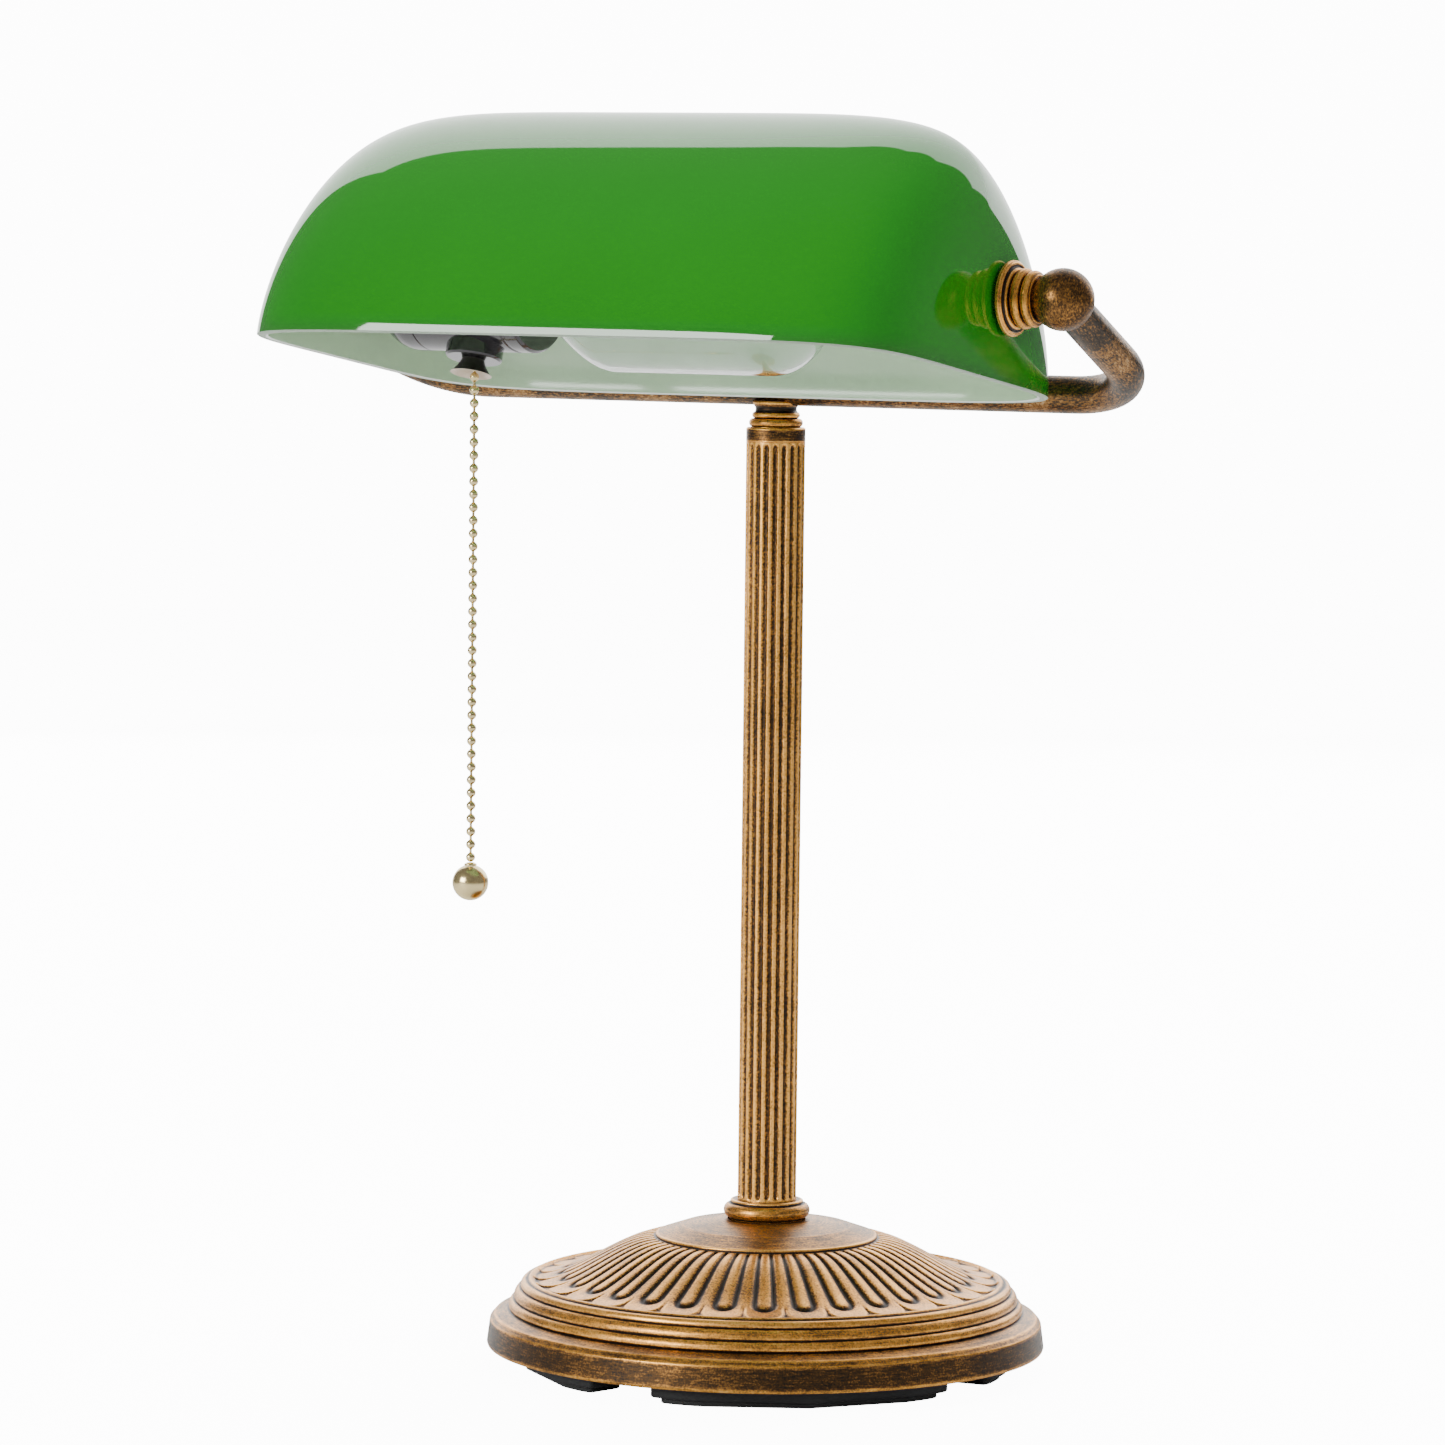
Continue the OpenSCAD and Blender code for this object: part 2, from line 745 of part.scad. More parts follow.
module centre_contact() {
    spring_h = 1.6;
    color(brass) on_pivot(-1) translate([0, 0, screw_out - spring_h])
        tube(4, 0, 0, spring_h + thread_wall);
}

module chain_guide() {
    flare_l = guide_out - flare_from;
    flare_power = 2.4;
    steps = [0.25 : 0.25 : 1];
    color("#2e3026") on_guide() rotate_extrude() polygon(concat(
        [[neck_in_r, neck_from], [neck_out_r, neck_from], [neck_out_r, flare_from]],
        [for (t = steps)
            [neck_out_r + (mouth_r - neck_out_r) * pow(t, flare_power), flare_from + flare_l * t]],
        [for (t = steps)
            let (back = 1.25 - t)
            [
                neck_in_r + (mouth_r - mouth_wall - neck_in_r) * pow(back, flare_power),
                flare_from + flare_l * back,
            ]],
        [[neck_in_r, flare_from]]
    ));
}

// ---- Pull switch ----
module arm_pin() {
    color(steel) switch_pin(pin_grip);
}

module arm_spring() {
    wire = 0.35;
    turns = 4;
    color(steel) on_guide() translate([-arm_w / 2 - 2, -arm_side, arm_mid]) rotate([0, 90, 0])
        for (i = [0 : turns - 1]) translate([0, 0, wire * (0.5 + 0.98 * i)])
            rotate_extrude() translate([arm_pin_r + wire + fit_gap, 0]) circle(r = wire / 2, $fn = 16);
}

module switch_arm() {
    hub_r = 2.2;
    color(brass) on_guide() translate([0, -arm_side, arm_mid]) rotate([-arm_half_angle, 0, 0])
        difference() {
            union() {
                rotate([0, 90, 0]) cylinder(r = hub_r, h = arm_w, center = true);
                translate([-arm_w / 2, 0, -arm_t / 2]) cube([arm_w, arm_rod + 2.4, arm_t]);
            }
            rotate([0, 90, 0]) cylinder(r = arm_pin_r + running_gap, h = arm_w + 2 * cut, center = true);
            translate([-slot_w / 2, arm_rod - 1.8, -arm_t]) cube([slot_w, arm_rod, 2 * arm_t]);
        }
}

module pull_link() {
    color(brass) on_guide() union() {
        translate([0, 0, top_ball_at]) sphere(r = bead_r, $fn = 32);
        translate([0, 0, top_ball_at]) cylinder(r = link_r, h = hang_at - bead_r - 0.5 - top_ball_at, $fn = 24);
        translate([0, 0, hang_at - bead_r - 1.4]) cylinder(r = 1.1, h = 0.9, $fn = 32);
    }
}

module pull_chain() {
    color(brass) translate([-guide_x, hang_y, hang_z - chain_l]) union() {
        rotate_extrude($fn = 24) polygon([[0, 0], [link_r, 0], [link_r, chain_l], [0, chain_l]]);
        for (i = [0 : beads - 1]) translate([0, 0, i * bead_pitch]) sphere(r = bead_r, $fn = 24);
    }
}

module chain_coupling() {
    low = hang_z - chain_l - coupling_h;
    color(brass) translate([-guide_x, hang_y, low]) rotate_extrude($fn = 48) polygon([
        [0, 0.6],
        [coupling_r, 0.6],
        [coupling_r, coupling_h - bead_r - 0.9],
        [coupling_r - 0.9, coupling_h - bead_r - 0.15],
        [0, coupling_h - bead_r - 0.15],
    ]);
}

module ball_knob() {
    bore = coupling_r + running_gap;
    color(brass) difference() {
        translate([-guide_x, hang_y, knob_z]) sphere(r = knob_r);
        translate([-guide_x, hang_y, hang_z - chain_l - coupling_h + 0.6]) cylinder(r = bore, h = knob_r);
    }
}

// ---- Bulb ----
function bulb_points(wall) =
    let (
        start = bulb_end - 2 + wall,
        r = bulb_r - wall,
        neck = bulb_cap_r - 1 - wall,
        tip = shell_in - bulb_l + wall,
        corner = 16,
        tube_from = shell_in - shoulder_l
    )
    concat(
        [[0, start], [neck, start], [neck, shell_in + 1]],
        [for (t = [0.1 : 0.1 : 1]) [neck + (r - neck) * smooth(t), shell_in - shoulder_l * t]],
        [for (a = [0 : 10 : 90])
            [r - corner + corner * cos(a), tip + corner - corner * sin(a)]],
        [[0, tip]]
    );

module bulb_glass() {
    color([0.9, 0.95, 0.95, 0.4]) on_pivot(-1) difference() {
        rotate_extrude() polygon(bulb_points(0));
        rotate_extrude() polygon(bulb_points(bulb_wall));
    }
}

module bulb_stem() {
    color([0.85, 0.9, 0.9, 0.6]) on_pivot(-1) rotate_extrude() polygon([
        [0, shell_in - 26],
        [2.5, shell_in - 26],
        [3, shell_in - 8],
        [6, shell_in + 9.8],
        [0, shell_in + 9.8],
    ]);
}

module bulb_filament() {
    post_r = 0.4;
    span = 8;
    post_in = shell_in - 44;
    color("#8c8c90") on_pivot(-1) union() {
        for (side = [-1, 1]) translate([0, side * span, post_in]) cylinder(r = post_r, h = 20, $fn = 16);
        for (side = [-1, 1]) translate([0, side * 1.4, shell_in - 26.5])
            rotate([side * 65, 0, 0]) translate([0, 0, -0.4]) cylinder(r = post_r, h = 7.6, $fn = 16);
        translate([0, -span, post_in]) rotate([-90, 0, 0]) cylinder(r = 0.7, h = 2 * span, $fn = 16);
    }
}

module bulb_cap() {
    ridge = 0.35;
    pitch = 3.6;
    end = bulb_end;
    mouth = shell_in + 0.8;
    ridges = floor((end - mouth - 3) / pitch);
    color("#c9ccd0") on_pivot(-1) difference() {
        rotate_extrude() polygon(concat(
            [[0, mouth], [bulb_cap_r - ridge, mouth]],
            [
                for (i = [0 : ridges - 1], a = [0 : 60 : 300])
                    [bulb_cap_r - ridge + ridge * sin(a / 2), mouth + 2 + (i + a / 360) * pitch]
            ],
            [[bulb_cap_r - ridge, end - 1], [bulb_cap_r - 3, end], [0, end]]
        ));
        translate([0, 0, mouth - cut]) cylinder(r = bulb_cap_r - 0.9, h = end - mouth - 1);
    }
}

module bulb_insulator() {
    color(black) on_pivot(-1) rotate_extrude() polygon([
        [0, bulb_end],
        [bulb_cap_r - 3, bulb_end],
        [5, bulb_end + 1],
        [0, bulb_end + 1],
    ]);
}

module bulb_contact() {
    color(steel) on_pivot(-1) tube(3.5, 0, bulb_end + 1, bulb_end + 1.6);
}

// ---- Shade ----
// A rounded shell point: u runs along the shade from end to end, v over its arch from front to back
function signed_pow(x, p) = sign(x) * pow(abs(x), p);
function shade_point(u, v, wall) =
    let (k = pow(abs(cos(u)), 2 / end_power))
    [
        (shade_x - wall) * signed_pow(sin(u), 2 / end_power),
        -(shade_y - wall) * k * signed_pow(cos(v), 2 / arch_power),
        (shade_h - wall) * k * pow(max(sin(v), 0), 2 / arch_power),
    ];
function shade_grid(wall) = concat(
    [[-(shade_x - wall), 0, 0]],
    [
        for (i = [1 : shade_rings - 1], j = [0 : shade_arc])
            shade_point(-90 + 180 * i / shade_rings, 180 * j / shade_arc, wall)
    ],
    [[shade_x - wall, 0, 0]]
);
row = shade_arc + 1;
last = (shade_rings - 1) * row + 1;
function at(i, j) = 1 + (i - 1) * row + j;
// Faces of the outer skin; flipped and shifted, they are the inner skin's
function skin_faces() = concat(
    [for (j = [0 : shade_arc - 1]) [0, at(1, j + 1), at(1, j)]],
    [
        for (i = [1 : shade_rings - 2], j = [0 : shade_arc - 1], half = [0, 1])
            half == 0
                ? [at(i, j), at(i, j + 1), at(i + 1, j + 1)]
                : [at(i, j), at(i + 1, j + 1), at(i + 1, j)]
    ],
    [for (j = [0 : shade_arc - 1]) [last, at(shade_rings - 1, j), at(shade_rings - 1, j + 1)]]
);
function shifted(face, by) = [face[0] + by, face[2] + by, face[1] + by];
// The rim's outline on one edge, from the left end to the right end
function rim_line(j) = concat([0], [for (i = [1 : shade_rings - 1]) at(i, j)], [last]);
function rim_faces() =
    let (front = rim_line(0), back = rim_line(shade_arc), by = last + 1)
    [
        for (i = [0 : shade_rings - 1], half = [0, 1], edge = [0, 1])
            let (
                line = edge == 0 ? front : back,
                a = line[i],
                b = line[i + 1],
                face = half == 0 ? [a, b, b + by] : [a, b + by, a + by]
            )
            edge == 0 ? face : [face[0], face[2], face[1]]
    ];

module glass_shade() {
    skin = skin_faces();
    color("#2c8a24") difference() {
        translate([0, rim_mid_y, rim_mid_z]) rotate([-rest_tilt, 0, 0])
            polyhedron(
                points = concat(shade_grid(0), shade_grid(glass_t)),
                faces = concat(skin, [for (f = skin) shifted(f, last + 1)], rim_faces())
            );
        for (side = [-1, 1]) on_pivot(side)
            translate([0, 0, shade_x - 10]) cylinder(r = glass_hole_r, h = 20);
    }
}

base_casting();
base_ballast();
base_cover();
cover_screws();
foot(0);  // foot_front
foot(1);  // foot_right
foot(2);  // foot_back
foot(3);  // foot_left
cord_grommet();
foot_collar();
pole();
tie_rod();
base_washer();
base_nut();
top_band();
neck();
yoke();
end_ball(-1);  // ball_left
end_ball(1);  // ball_right
ring_collar(-1);  // ring_collar_left
ring_collar(1);  // ring_collar_right
seat_flange(-1);  // seat_flange_left
seat_flange(1);  // seat_flange_right
nipple(-1);  // nipple_left
nipple(1);  // nipple_right
inner_washer(-1);  // inner_washer_left
inner_washer(1);  // inner_washer_right
lock_nut(-1);  // lock_nut_left
lock_nut(1);  // lock_nut_right
socket_cap();
socket_shell();
socket_core();
screw_shell();
centre_contact();
terminal_screws();
chain_guide();
arm_pin();
arm_spring();
switch_arm();
pull_link();
pull_chain();
chain_coupling();
ball_knob();
bulb_glass();
bulb_stem();
bulb_filament();
bulb_cap();
bulb_insulator();
bulb_contact();
glass_shade();
shade_grommet(-1);  // shade_grommet_left
shade_grommet(1);  // shade_grommet_right
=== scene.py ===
"""Looks of the banker desk lamp: bronze with rubbed gold, cased green glass, clear bulb and brass chain."""

import json
import math

import bmesh
import bpy
import numpy as np
from mathutils import Matrix, Vector

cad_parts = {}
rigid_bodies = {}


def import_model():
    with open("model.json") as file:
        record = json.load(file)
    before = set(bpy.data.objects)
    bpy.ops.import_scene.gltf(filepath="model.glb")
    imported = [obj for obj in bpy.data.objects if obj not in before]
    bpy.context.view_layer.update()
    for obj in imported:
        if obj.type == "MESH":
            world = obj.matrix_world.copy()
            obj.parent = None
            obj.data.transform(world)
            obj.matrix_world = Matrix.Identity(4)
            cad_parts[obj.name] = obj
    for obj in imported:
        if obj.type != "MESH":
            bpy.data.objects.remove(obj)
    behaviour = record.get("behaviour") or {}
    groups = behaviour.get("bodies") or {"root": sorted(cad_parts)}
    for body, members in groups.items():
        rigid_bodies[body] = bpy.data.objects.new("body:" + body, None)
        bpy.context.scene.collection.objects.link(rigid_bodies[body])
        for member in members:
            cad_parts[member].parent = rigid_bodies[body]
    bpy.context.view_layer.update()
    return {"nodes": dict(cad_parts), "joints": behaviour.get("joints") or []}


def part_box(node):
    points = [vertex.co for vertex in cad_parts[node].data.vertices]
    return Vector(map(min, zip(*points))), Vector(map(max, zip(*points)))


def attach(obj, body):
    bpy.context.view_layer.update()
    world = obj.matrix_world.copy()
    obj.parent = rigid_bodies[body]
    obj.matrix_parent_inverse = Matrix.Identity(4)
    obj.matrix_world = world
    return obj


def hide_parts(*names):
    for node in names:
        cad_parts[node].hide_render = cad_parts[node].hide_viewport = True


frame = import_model()

MM = 0.001
JOINTS = {j["name"]: j for j in frame["joints"]}


# ---------------------------------------------------------------- camera


def make_camera():
    """The photograph's view: a long lens, low and to the right of the front."""
    distance, height = 2.180, 0.3933
    bearing, pan, down, roll = (math.radians(a) for a in (28.47, 0.44, 4.607, 0.643))
    cam = bpy.data.objects.new("camera", bpy.data.cameras.new("camera"))
    bpy.context.scene.collection.objects.link(cam)
    cam.data.lens = 162.5
    cam.data.sensor_width = 36
    cam.data.clip_start = 0.1
    cam.location = (distance * math.sin(bearing), -distance * math.cos(bearing), height)
    turn = Matrix.Rotation(bearing + pan, 4, "Z") @ Matrix.Rotation(math.pi / 2 - down, 4, "X")
    cam.rotation_mode = "QUATERNION"
    cam.rotation_quaternion = (turn @ Matrix.Rotation(roll, 4, "Z")).to_quaternion()
    bpy.context.scene.camera = cam


make_camera()


# ---------------------------------------------------------------- places, from the CAD frame


def size(node):
    low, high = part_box(node)
    return high - low


def middle(node):
    low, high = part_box(node)
    return (low + high) / 2


PIVOT = Vector(JOINTS["shade_tilt"]["pos_m"])
HANG = Vector(JOINTS["chain_swing"]["pos_m"])
GUIDE_AXIS = Vector(JOINTS["chain_pull"]["axis"]).normalized()
GUIDE_FOOT = Vector((HANG.x, PIVOT.y, PIVOT.z))
BASE_LOW, BASE_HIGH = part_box("base_casting")
BASE_R = BASE_HIGH.x / MM
BASE_Z = BASE_LOW.z / MM
SEAT_Z = BASE_HIGH.z / MM
POLE_LOW, POLE_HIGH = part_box("pole")
POLE_R = POLE_HIGH.x / MM
POLE_Z = (POLE_LOW.z / MM, POLE_HIGH.z / MM)
BAND_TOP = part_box("top_band")[1].z / MM
YOKE_LOW, YOKE_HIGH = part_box("yoke")
TUBE_R = 6.2
BAR_Z = YOKE_LOW.z / MM + TUBE_R
YOKE_HALF = YOKE_HIGH.x / MM - TUBE_R
BEND_R = 27
ARM_SEAT = 5.5
PETALS = 32
PETAL_BEARING = 28.1
FLUTES = 20


# ---------------------------------------------------------------- mesh helpers


def unit(v):
    return v / max(np.linalg.norm(v), 1e-9)


def fillet(points, radius=0.4, steps=5):
    """An open or closed outline with its inner corners rounded; a point may carry its own radius."""
    pts = [np.array(p[:2], float) for p in points]
    radii = [p[2] if len(p) > 2 else radius for p in points]
    out = [pts[0]]
    for i in range(1, len(pts) - 1):
        a, b = unit(pts[i - 1] - pts[i]), unit(pts[i + 1] - pts[i])
        half = math.acos(float(np.clip(a @ b, -1, 1))) / 2
        room = 0.45 * min(np.linalg.norm(pts[i - 1] - pts[i]), np.linalg.norm(pts[i + 1] - pts[i]))
        cut = min(radii[i] / max(math.tan(half), 1e-3), room)
        if half > 1.53 or cut < 1e-4:
            out.append(pts[i])
            continue
        r = cut * math.tan(half)
        centre = pts[i] + unit(a + b) * r / math.sin(half)
        start, end = pts[i] + a * cut - centre, pts[i] + b * cut - centre
        sweep = math.atan2(start[0] * end[1] - start[1] * end[0], start @ end)
        for k in range(steps + 1):
            t = sweep * k / steps
            c, s = math.cos(t), math.sin(t)
            out.append(centre + np.array([c * start[0] - s * start[1], s * start[0] + c * start[1]]))
    out.append(pts[-1])
    return np.array(out)


def dense(points, step):
    """The same outline with points no further apart than step."""
    out = [points[0]]
    for a, b in zip(points[:-1], points[1:]):
        n = max(1, math.ceil(np.linalg.norm(b - a) / step))
        out += [a + (b - a) * k / n for k in range(1, n + 1)]
    return np.array(out)


def convexity(outline, reach=0.7):
    """How far each point of an outline stands proud of its neighbours, from -1 in a groove to 1."""
    gaps = np.linalg.norm(np.diff(outline, axis=0), axis=1)
    along = np.concatenate([[0], np.cumsum(gaps)])

    def at(s):
        s = np.clip(s, 0, along[-1])
        return np.stack([np.interp(s, along, outline[:, 0]), np.interp(s, along, outline[:, 1])], 1)

    before, after = at(along - reach), at(along + reach)
    tangent = after - before
    normal = np.stack([tangent[:, 1], -tangent[:, 0]], 1)
    normal /= np.maximum(np.linalg.norm(normal, axis=1, keepdims=True), 1e-9)
    stand = ((outline - (before + after) / 2) * normal).sum(1) / reach
    return np.clip(stand * 3.2, -1, 1)


def add_mesh(name, verts, faces, body, material, flow=None, wear=None, sharp=38, places=None):
    """A mesh piece in millimetres, riding on a CAD body. faces is an array of quads, or a list of faces."""
    mesh = bpy.data.meshes.new(name)
    verts = np.asarray(verts, float) * MM
    if isinstance(faces, np.ndarray):
        mesh.vertices.add(len(verts))
        mesh.vertices.foreach_set("co", verts.ravel())
        mesh.loops.add(faces.size)
        mesh.loops.foreach_set("vertex_index", faces.ravel().astype(np.int32))
        mesh.polygons.add(len(faces))
        mesh.polygons.foreach_set("loop_start", np.arange(0, faces.size, faces.shape[1], dtype=np.int32))
    else:
        mesh.from_pydata(verts.tolist(), [], faces)
    mesh.update(calc_edges=True)
    mesh.validate()
    mesh.polygons.foreach_set("use_smooth", [True] * len(mesh.polygons))
    mesh.set_sharp_from_angle(angle=math.radians(sharp))
    if flow is not None:
        mesh.attributes.new("flow", "FLOAT_VECTOR", "POINT").data.foreach_set(
            "vector", np.asarray(flow, float).ravel()
        )
    if wear is not None:
        mesh.attributes.new("wear", "FLOAT", "POINT").data.foreach_set(
            "value", np.asarray(wear, float).ravel()
        )
    for m in material if isinstance(material, (list, tuple)) else [material]:
        mesh.materials.append(m)
    obj = bpy.data.objects.new(name, mesh)
    bpy.context.scene.collection.objects.link(obj)
    if places is not None:
        obj.matrix_world = places
        obj.data.transform(places)
        obj.matrix_world = Matrix.Identity(4)
    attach(obj, body)
    return obj


def ring_quads(n, m, close_rows=True, close_cols=True):
    """Quads over an n by m grid of points, wound so that (row step) x (column step) faces out."""
    i = np.arange(n if close_rows else n - 1)[:, None]
    j = np.arange(m if close_cols else m - 1)[None, :]
    i1, j1 = (i + 1) % n, (j + 1) % m
    return np.stack([i * m + j, i1 * m + j, i1 * m + j1, i * m + j1], -1).reshape(-1, 4)


def lathe(name, outline, body, material, place=None, seg=144, stretch=0.12, reach=0.7, step=0.35, sharp=38):
    """A turned piece: a closed outline of (radius, height) points in mm, bottom first and outside next."""
    outline = dense(np.asarray(outline, float), step)
    outline[:, 0] = np.maximum(outline[:, 0], 0.02)
    if np.linalg.norm(outline[0] - outline[-1]) < 1e-6:
        outline = outline[:-1]
    edge = convexity(outline, reach)
    gaps = np.linalg.norm(np.diff(outline, axis=0), axis=1)
    along = np.concatenate([[0], np.cumsum(gaps)])
    turn = np.arange(seg) * 2 * math.pi / seg
    r, z = outline[:, 0][None, :], outline[:, 1][None, :]
    c, s = np.cos(turn)[:, None], np.sin(turn)[:, None]
    verts = np.stack([r * c, r * s, z + 0 * c], -1).reshape(-1, 3)
    flow = np.stack([r * c * stretch, r * s * stretch, along[None, :] + 0 * c], -1).reshape(-1, 3)
    wear = np.broadcast_to(edge, (seg, len(edge))).reshape(-1)
    return add_mesh(
        name, verts, ring_quads(seg, len(edge)), body, material, flow, wear, sharp, place
    )


def along_pivot(side):
    """Places a piece drawn along +Z out from the lamp's middle on the left or right pivot, in metres."""
    turn = Matrix.Rotation(math.radians(90) * side, 4, "Y")
    return Matrix.Translation((0, PIVOT.y, PIVOT.z)) @ turn


def on_guide():
    """Places a piece drawn along +Z on the chain guide's line, starting on the socket's axis."""
    return Matrix.Translation(GUIDE_FOOT) @ GUIDE_AXIS.to_track_quat("Z", "X").to_matrix().to_4x4()


# ---------------------------------------------------------------- materials


class Nodes:
    """A small helper that adds shader nodes and links them."""

    def __init__(self, name):
        self.material = bpy.data.materials.new(name)
        self.material.use_nodes = True
        self.tree = self.material.node_tree
        self.shader = self.tree.nodes["Principled BSDF"]

    def add(self, kind, inputs=None, **settings):
        node = self.tree.nodes.new(kind)
        for key, value in settings.items():
            setattr(node, key, value)
        for key, value in (inputs or {}).items():
            self.put(node.inputs[key], value)
        return node

    def put(self, socket, value):
        if isinstance(value, bpy.types.NodeSocket):
            self.tree.links.new(value, socket)
        else:
            socket.default_value = value

    def set(self, **values):
        for key, value in values.items():
            self.put(self.shader.inputs[key.replace("_", " ")], value)

    def maths(self, operation, a, b=0.0, clamp=False):
        return self.add("ShaderNodeMath", {0: a, 1: b}, operation=operation, use_clamp=clamp).outputs[0]

    def attribute(self, name):
        return self.add("ShaderNodeAttribute", attribute_name=name)

    def objects(self):
        return self.add("ShaderNodeTexCoord").outputs["Object"]

    def scaled(self, vector, scale):
        return self.add("ShaderNodeMapping", {"Vector": vector, "Scale": scale}).outputs[0]

    def noise(self, vector, scale, detail=4.0, roughness=0.6, distortion=0.0):
        inputs = {
            "Vector": vector, "Scale": scale, "Detail": detail,
            "Roughness": roughness, "Distortion": distortion,
        }
        return self.add("ShaderNodeTexNoise", inputs).outputs["Fac"]

    def ramp(self, factor, stops):
        node = self.add("ShaderNodeValToRGB", {"Fac": factor})
        band = node.color_ramp
        while len(band.elements) < len(stops):
            band.elements.new(0.5)
        for element, (position, colour) in zip(band.elements, stops):
            element.position = position
            element.color = (*colour, 1)
        return node.outputs["Color"]

    def mix(self, factor, a, b):
        node = self.add("ShaderNodeMix", data_type="RGBA")
        self.put(node.inputs["Factor"], factor)
        for socket, value in ((node.inputs["A"], a), (node.inputs["B"], b)):
            self.put(socket, value if isinstance(value, bpy.types.NodeSocket) else (*value, 1))
        return node.outputs["Result"]

    def bump(self, height, strength, distance):
        node = self.add("ShaderNodeBump", {"Height": height, "Strength": strength, "Distance": distance})
        self.put(self.shader.inputs["Normal"], node.outputs[0])


def bronze(name, lift=0.0, streak=0.5, speckle=0.35, patch=0.3, gold=(0.74, 0.33, 0.055)):
    """Antique bronze: a dark wash rubbed back to gold on the edges, with brush streaks along the flow."""
    n = Nodes(name)
    flow, wear = n.attribute("flow").outputs["Vector"], n.attribute("wear").outputs["Fac"]
    place = n.objects()
    streaks = n.noise(flow, 1.9, 6.0, 0.65, 0.3)
    specks = n.noise(place, 1500.0, 2.0, 0.6)
    patches = n.noise(place, 60.0, 4.0, 0.55)
    rubbed = n.maths("MULTIPLY", wear, 0.62)
    rubbed = n.maths("ADD", rubbed, 0.47 + lift)
    for texture, amount in ((streaks, streak), (specks, speckle), (patches, patch)):
        centred = n.maths("SUBTRACT", texture, 0.5)
        rubbed = n.maths("ADD", rubbed, n.maths("MULTIPLY", centred, amount * 2))
    rubbed = n.maths("ADD", rubbed, 0.0, clamp=True)
    deep = tuple(0.09 * g + 0.008 for g in gold)
    stops = [
        (0.0, (0.022, 0.016, 0.012)),
        (0.3, deep),
        (0.52, (0.27, 0.128, 0.034)),
        (0.78, gold),
        (1.0, (0.95, 0.5, 0.13)),
    ]
    n.set(Base_Color=n.ramp(rubbed, stops), Metallic=0.82, Specular_IOR_Level=0.4)
    rough = n.maths("ADD", n.maths("MULTIPLY", rubbed, -0.12), 0.36)
    n.set(Roughness=n.maths("ADD", rough, n.maths("MULTIPLY", streaks, 0.12)))
    n.bump(n.maths("ADD", streaks, n.maths("MULTIPLY", specks, 0.6)), 0.35, 0.00012)
    return n.material


def metal(name, colour, roughness, grain=900.0, depth=0.00003):
    n = Nodes(name)
    marks = n.noise(n.objects(), grain, 4.0)
    n.set(Base_Color=n.mix(marks, tuple(c * 0.82 for c in colour), colour), Metallic=1.0)
    n.set(Roughness=n.maths("ADD", n.maths("MULTIPLY", marks, 0.14), roughness - 0.05))
    n.bump(marks, 0.3, depth)
    return n.material


def rubber():
    n = Nodes("rubber")
    grain = n.noise(n.objects(), 2600.0, 3.0)
    n.set(Base_Color=n.mix(grain, (0.012, 0.012, 0.013), (0.026, 0.026, 0.027)), Roughness=0.62)
    n.bump(grain, 0.35, 0.00006)
    return n.material


def phenolic():
    n = Nodes("black_phenolic")
    swirl = n.noise(n.objects(), 160.0, 3.0)
    n.set(Base_Color=n.mix(swirl, (0.010, 0.009, 0.011), (0.020, 0.018, 0.021)))
    n.set(Roughness=n.maths("ADD", n.maths("MULTIPLY", swirl, 0.08), 0.12), Coat_Weight=0.4)
    n.bump(n.noise(n.objects(), 900.0, 2.0), 0.12, 0.00003)
    return n.material


def painted(name, colour, roughness):
    n = Nodes(name)
    grain = n.noise(n.objects(), 1200.0, 3.0)
    n.set(Base_Color=n.mix(grain, tuple(c * 0.8 for c in colour), colour), Roughness=roughness)
    n.bump(grain, 0.2, 0.00003)
    return n.material


def ceramic():
    n = Nodes("unglazed_ceramic")
    grain = n.noise(n.objects(), 1400.0, 4.0)
    n.set(Base_Color=n.mix(grain, (0.6, 0.56, 0.48), (0.74, 0.71, 0.63)), Roughness=0.7)
    n.bump(grain, 0.3, 0.00005)
    return n.material


def green_case():
    """The outer casing: deep glossy green, a little thinner and lighter just above the rim."""
    n = Nodes("green_cased_glass")
    rise = n.attribute("wear").outputs["Fac"]
    drift = n.noise(n.objects(), 9.0, 2.0)
    green = n.mix(drift, (0.006, 0.150, 0.003), (0.009, 0.200, 0.005))
    edge = n.maths("SUBTRACT", 1.0, rise, clamp=True)
    n.set(Base_Color=n.mix(n.maths("POWER", edge, 2.0), green, (0.016, 0.13, 0.013)))
    n.set(Roughness=0.035, IOR=1.52, Coat_Weight=0.0, Specular_IOR_Level=0.62)
    n.bump(n.noise(n.objects(), 14.0, 1.0), 0.08, 0.0006)
    return n.material


def opal_lining():
    """The white inner layer, tinted by the green behind it."""
    n = Nodes("opal_lining")
    cloud = n.noise(n.objects(), 12.0, 2.0)
    n.set(Base_Color=n.mix(cloud, (0.47, 0.68, 0.44), (0.53, 0.73, 0.49)), Roughness=0.12)
    n.set(Specular_IOR_Level=0.45, Subsurface_Weight=0.0)
    n.bump(n.noise(n.objects(), 20.0, 1.0), 0.05, 0.0004)
    return n.material


def ground_edge():
    n = Nodes("ground_glass_edge")
    grain = n.noise(n.objects(), 1800.0, 3.0)
    n.set(Base_Color=n.mix(grain, (0.16, 0.24, 0.16), (0.36, 0.44, 0.34)), Roughness=0.45)
    n.bump(grain, 0.4, 0.00008)
    return n.material


def clear_glass():
    n = Nodes("clear_glass")
    n.set(Base_Color=(0.96, 0.99, 0.97, 1), Roughness=0.0, IOR=1.47, Transmission_Weight=1.0)
    n.bump(n.noise(n.objects(), 30.0, 1.0), 0.04, 0.0003)
    return n.material


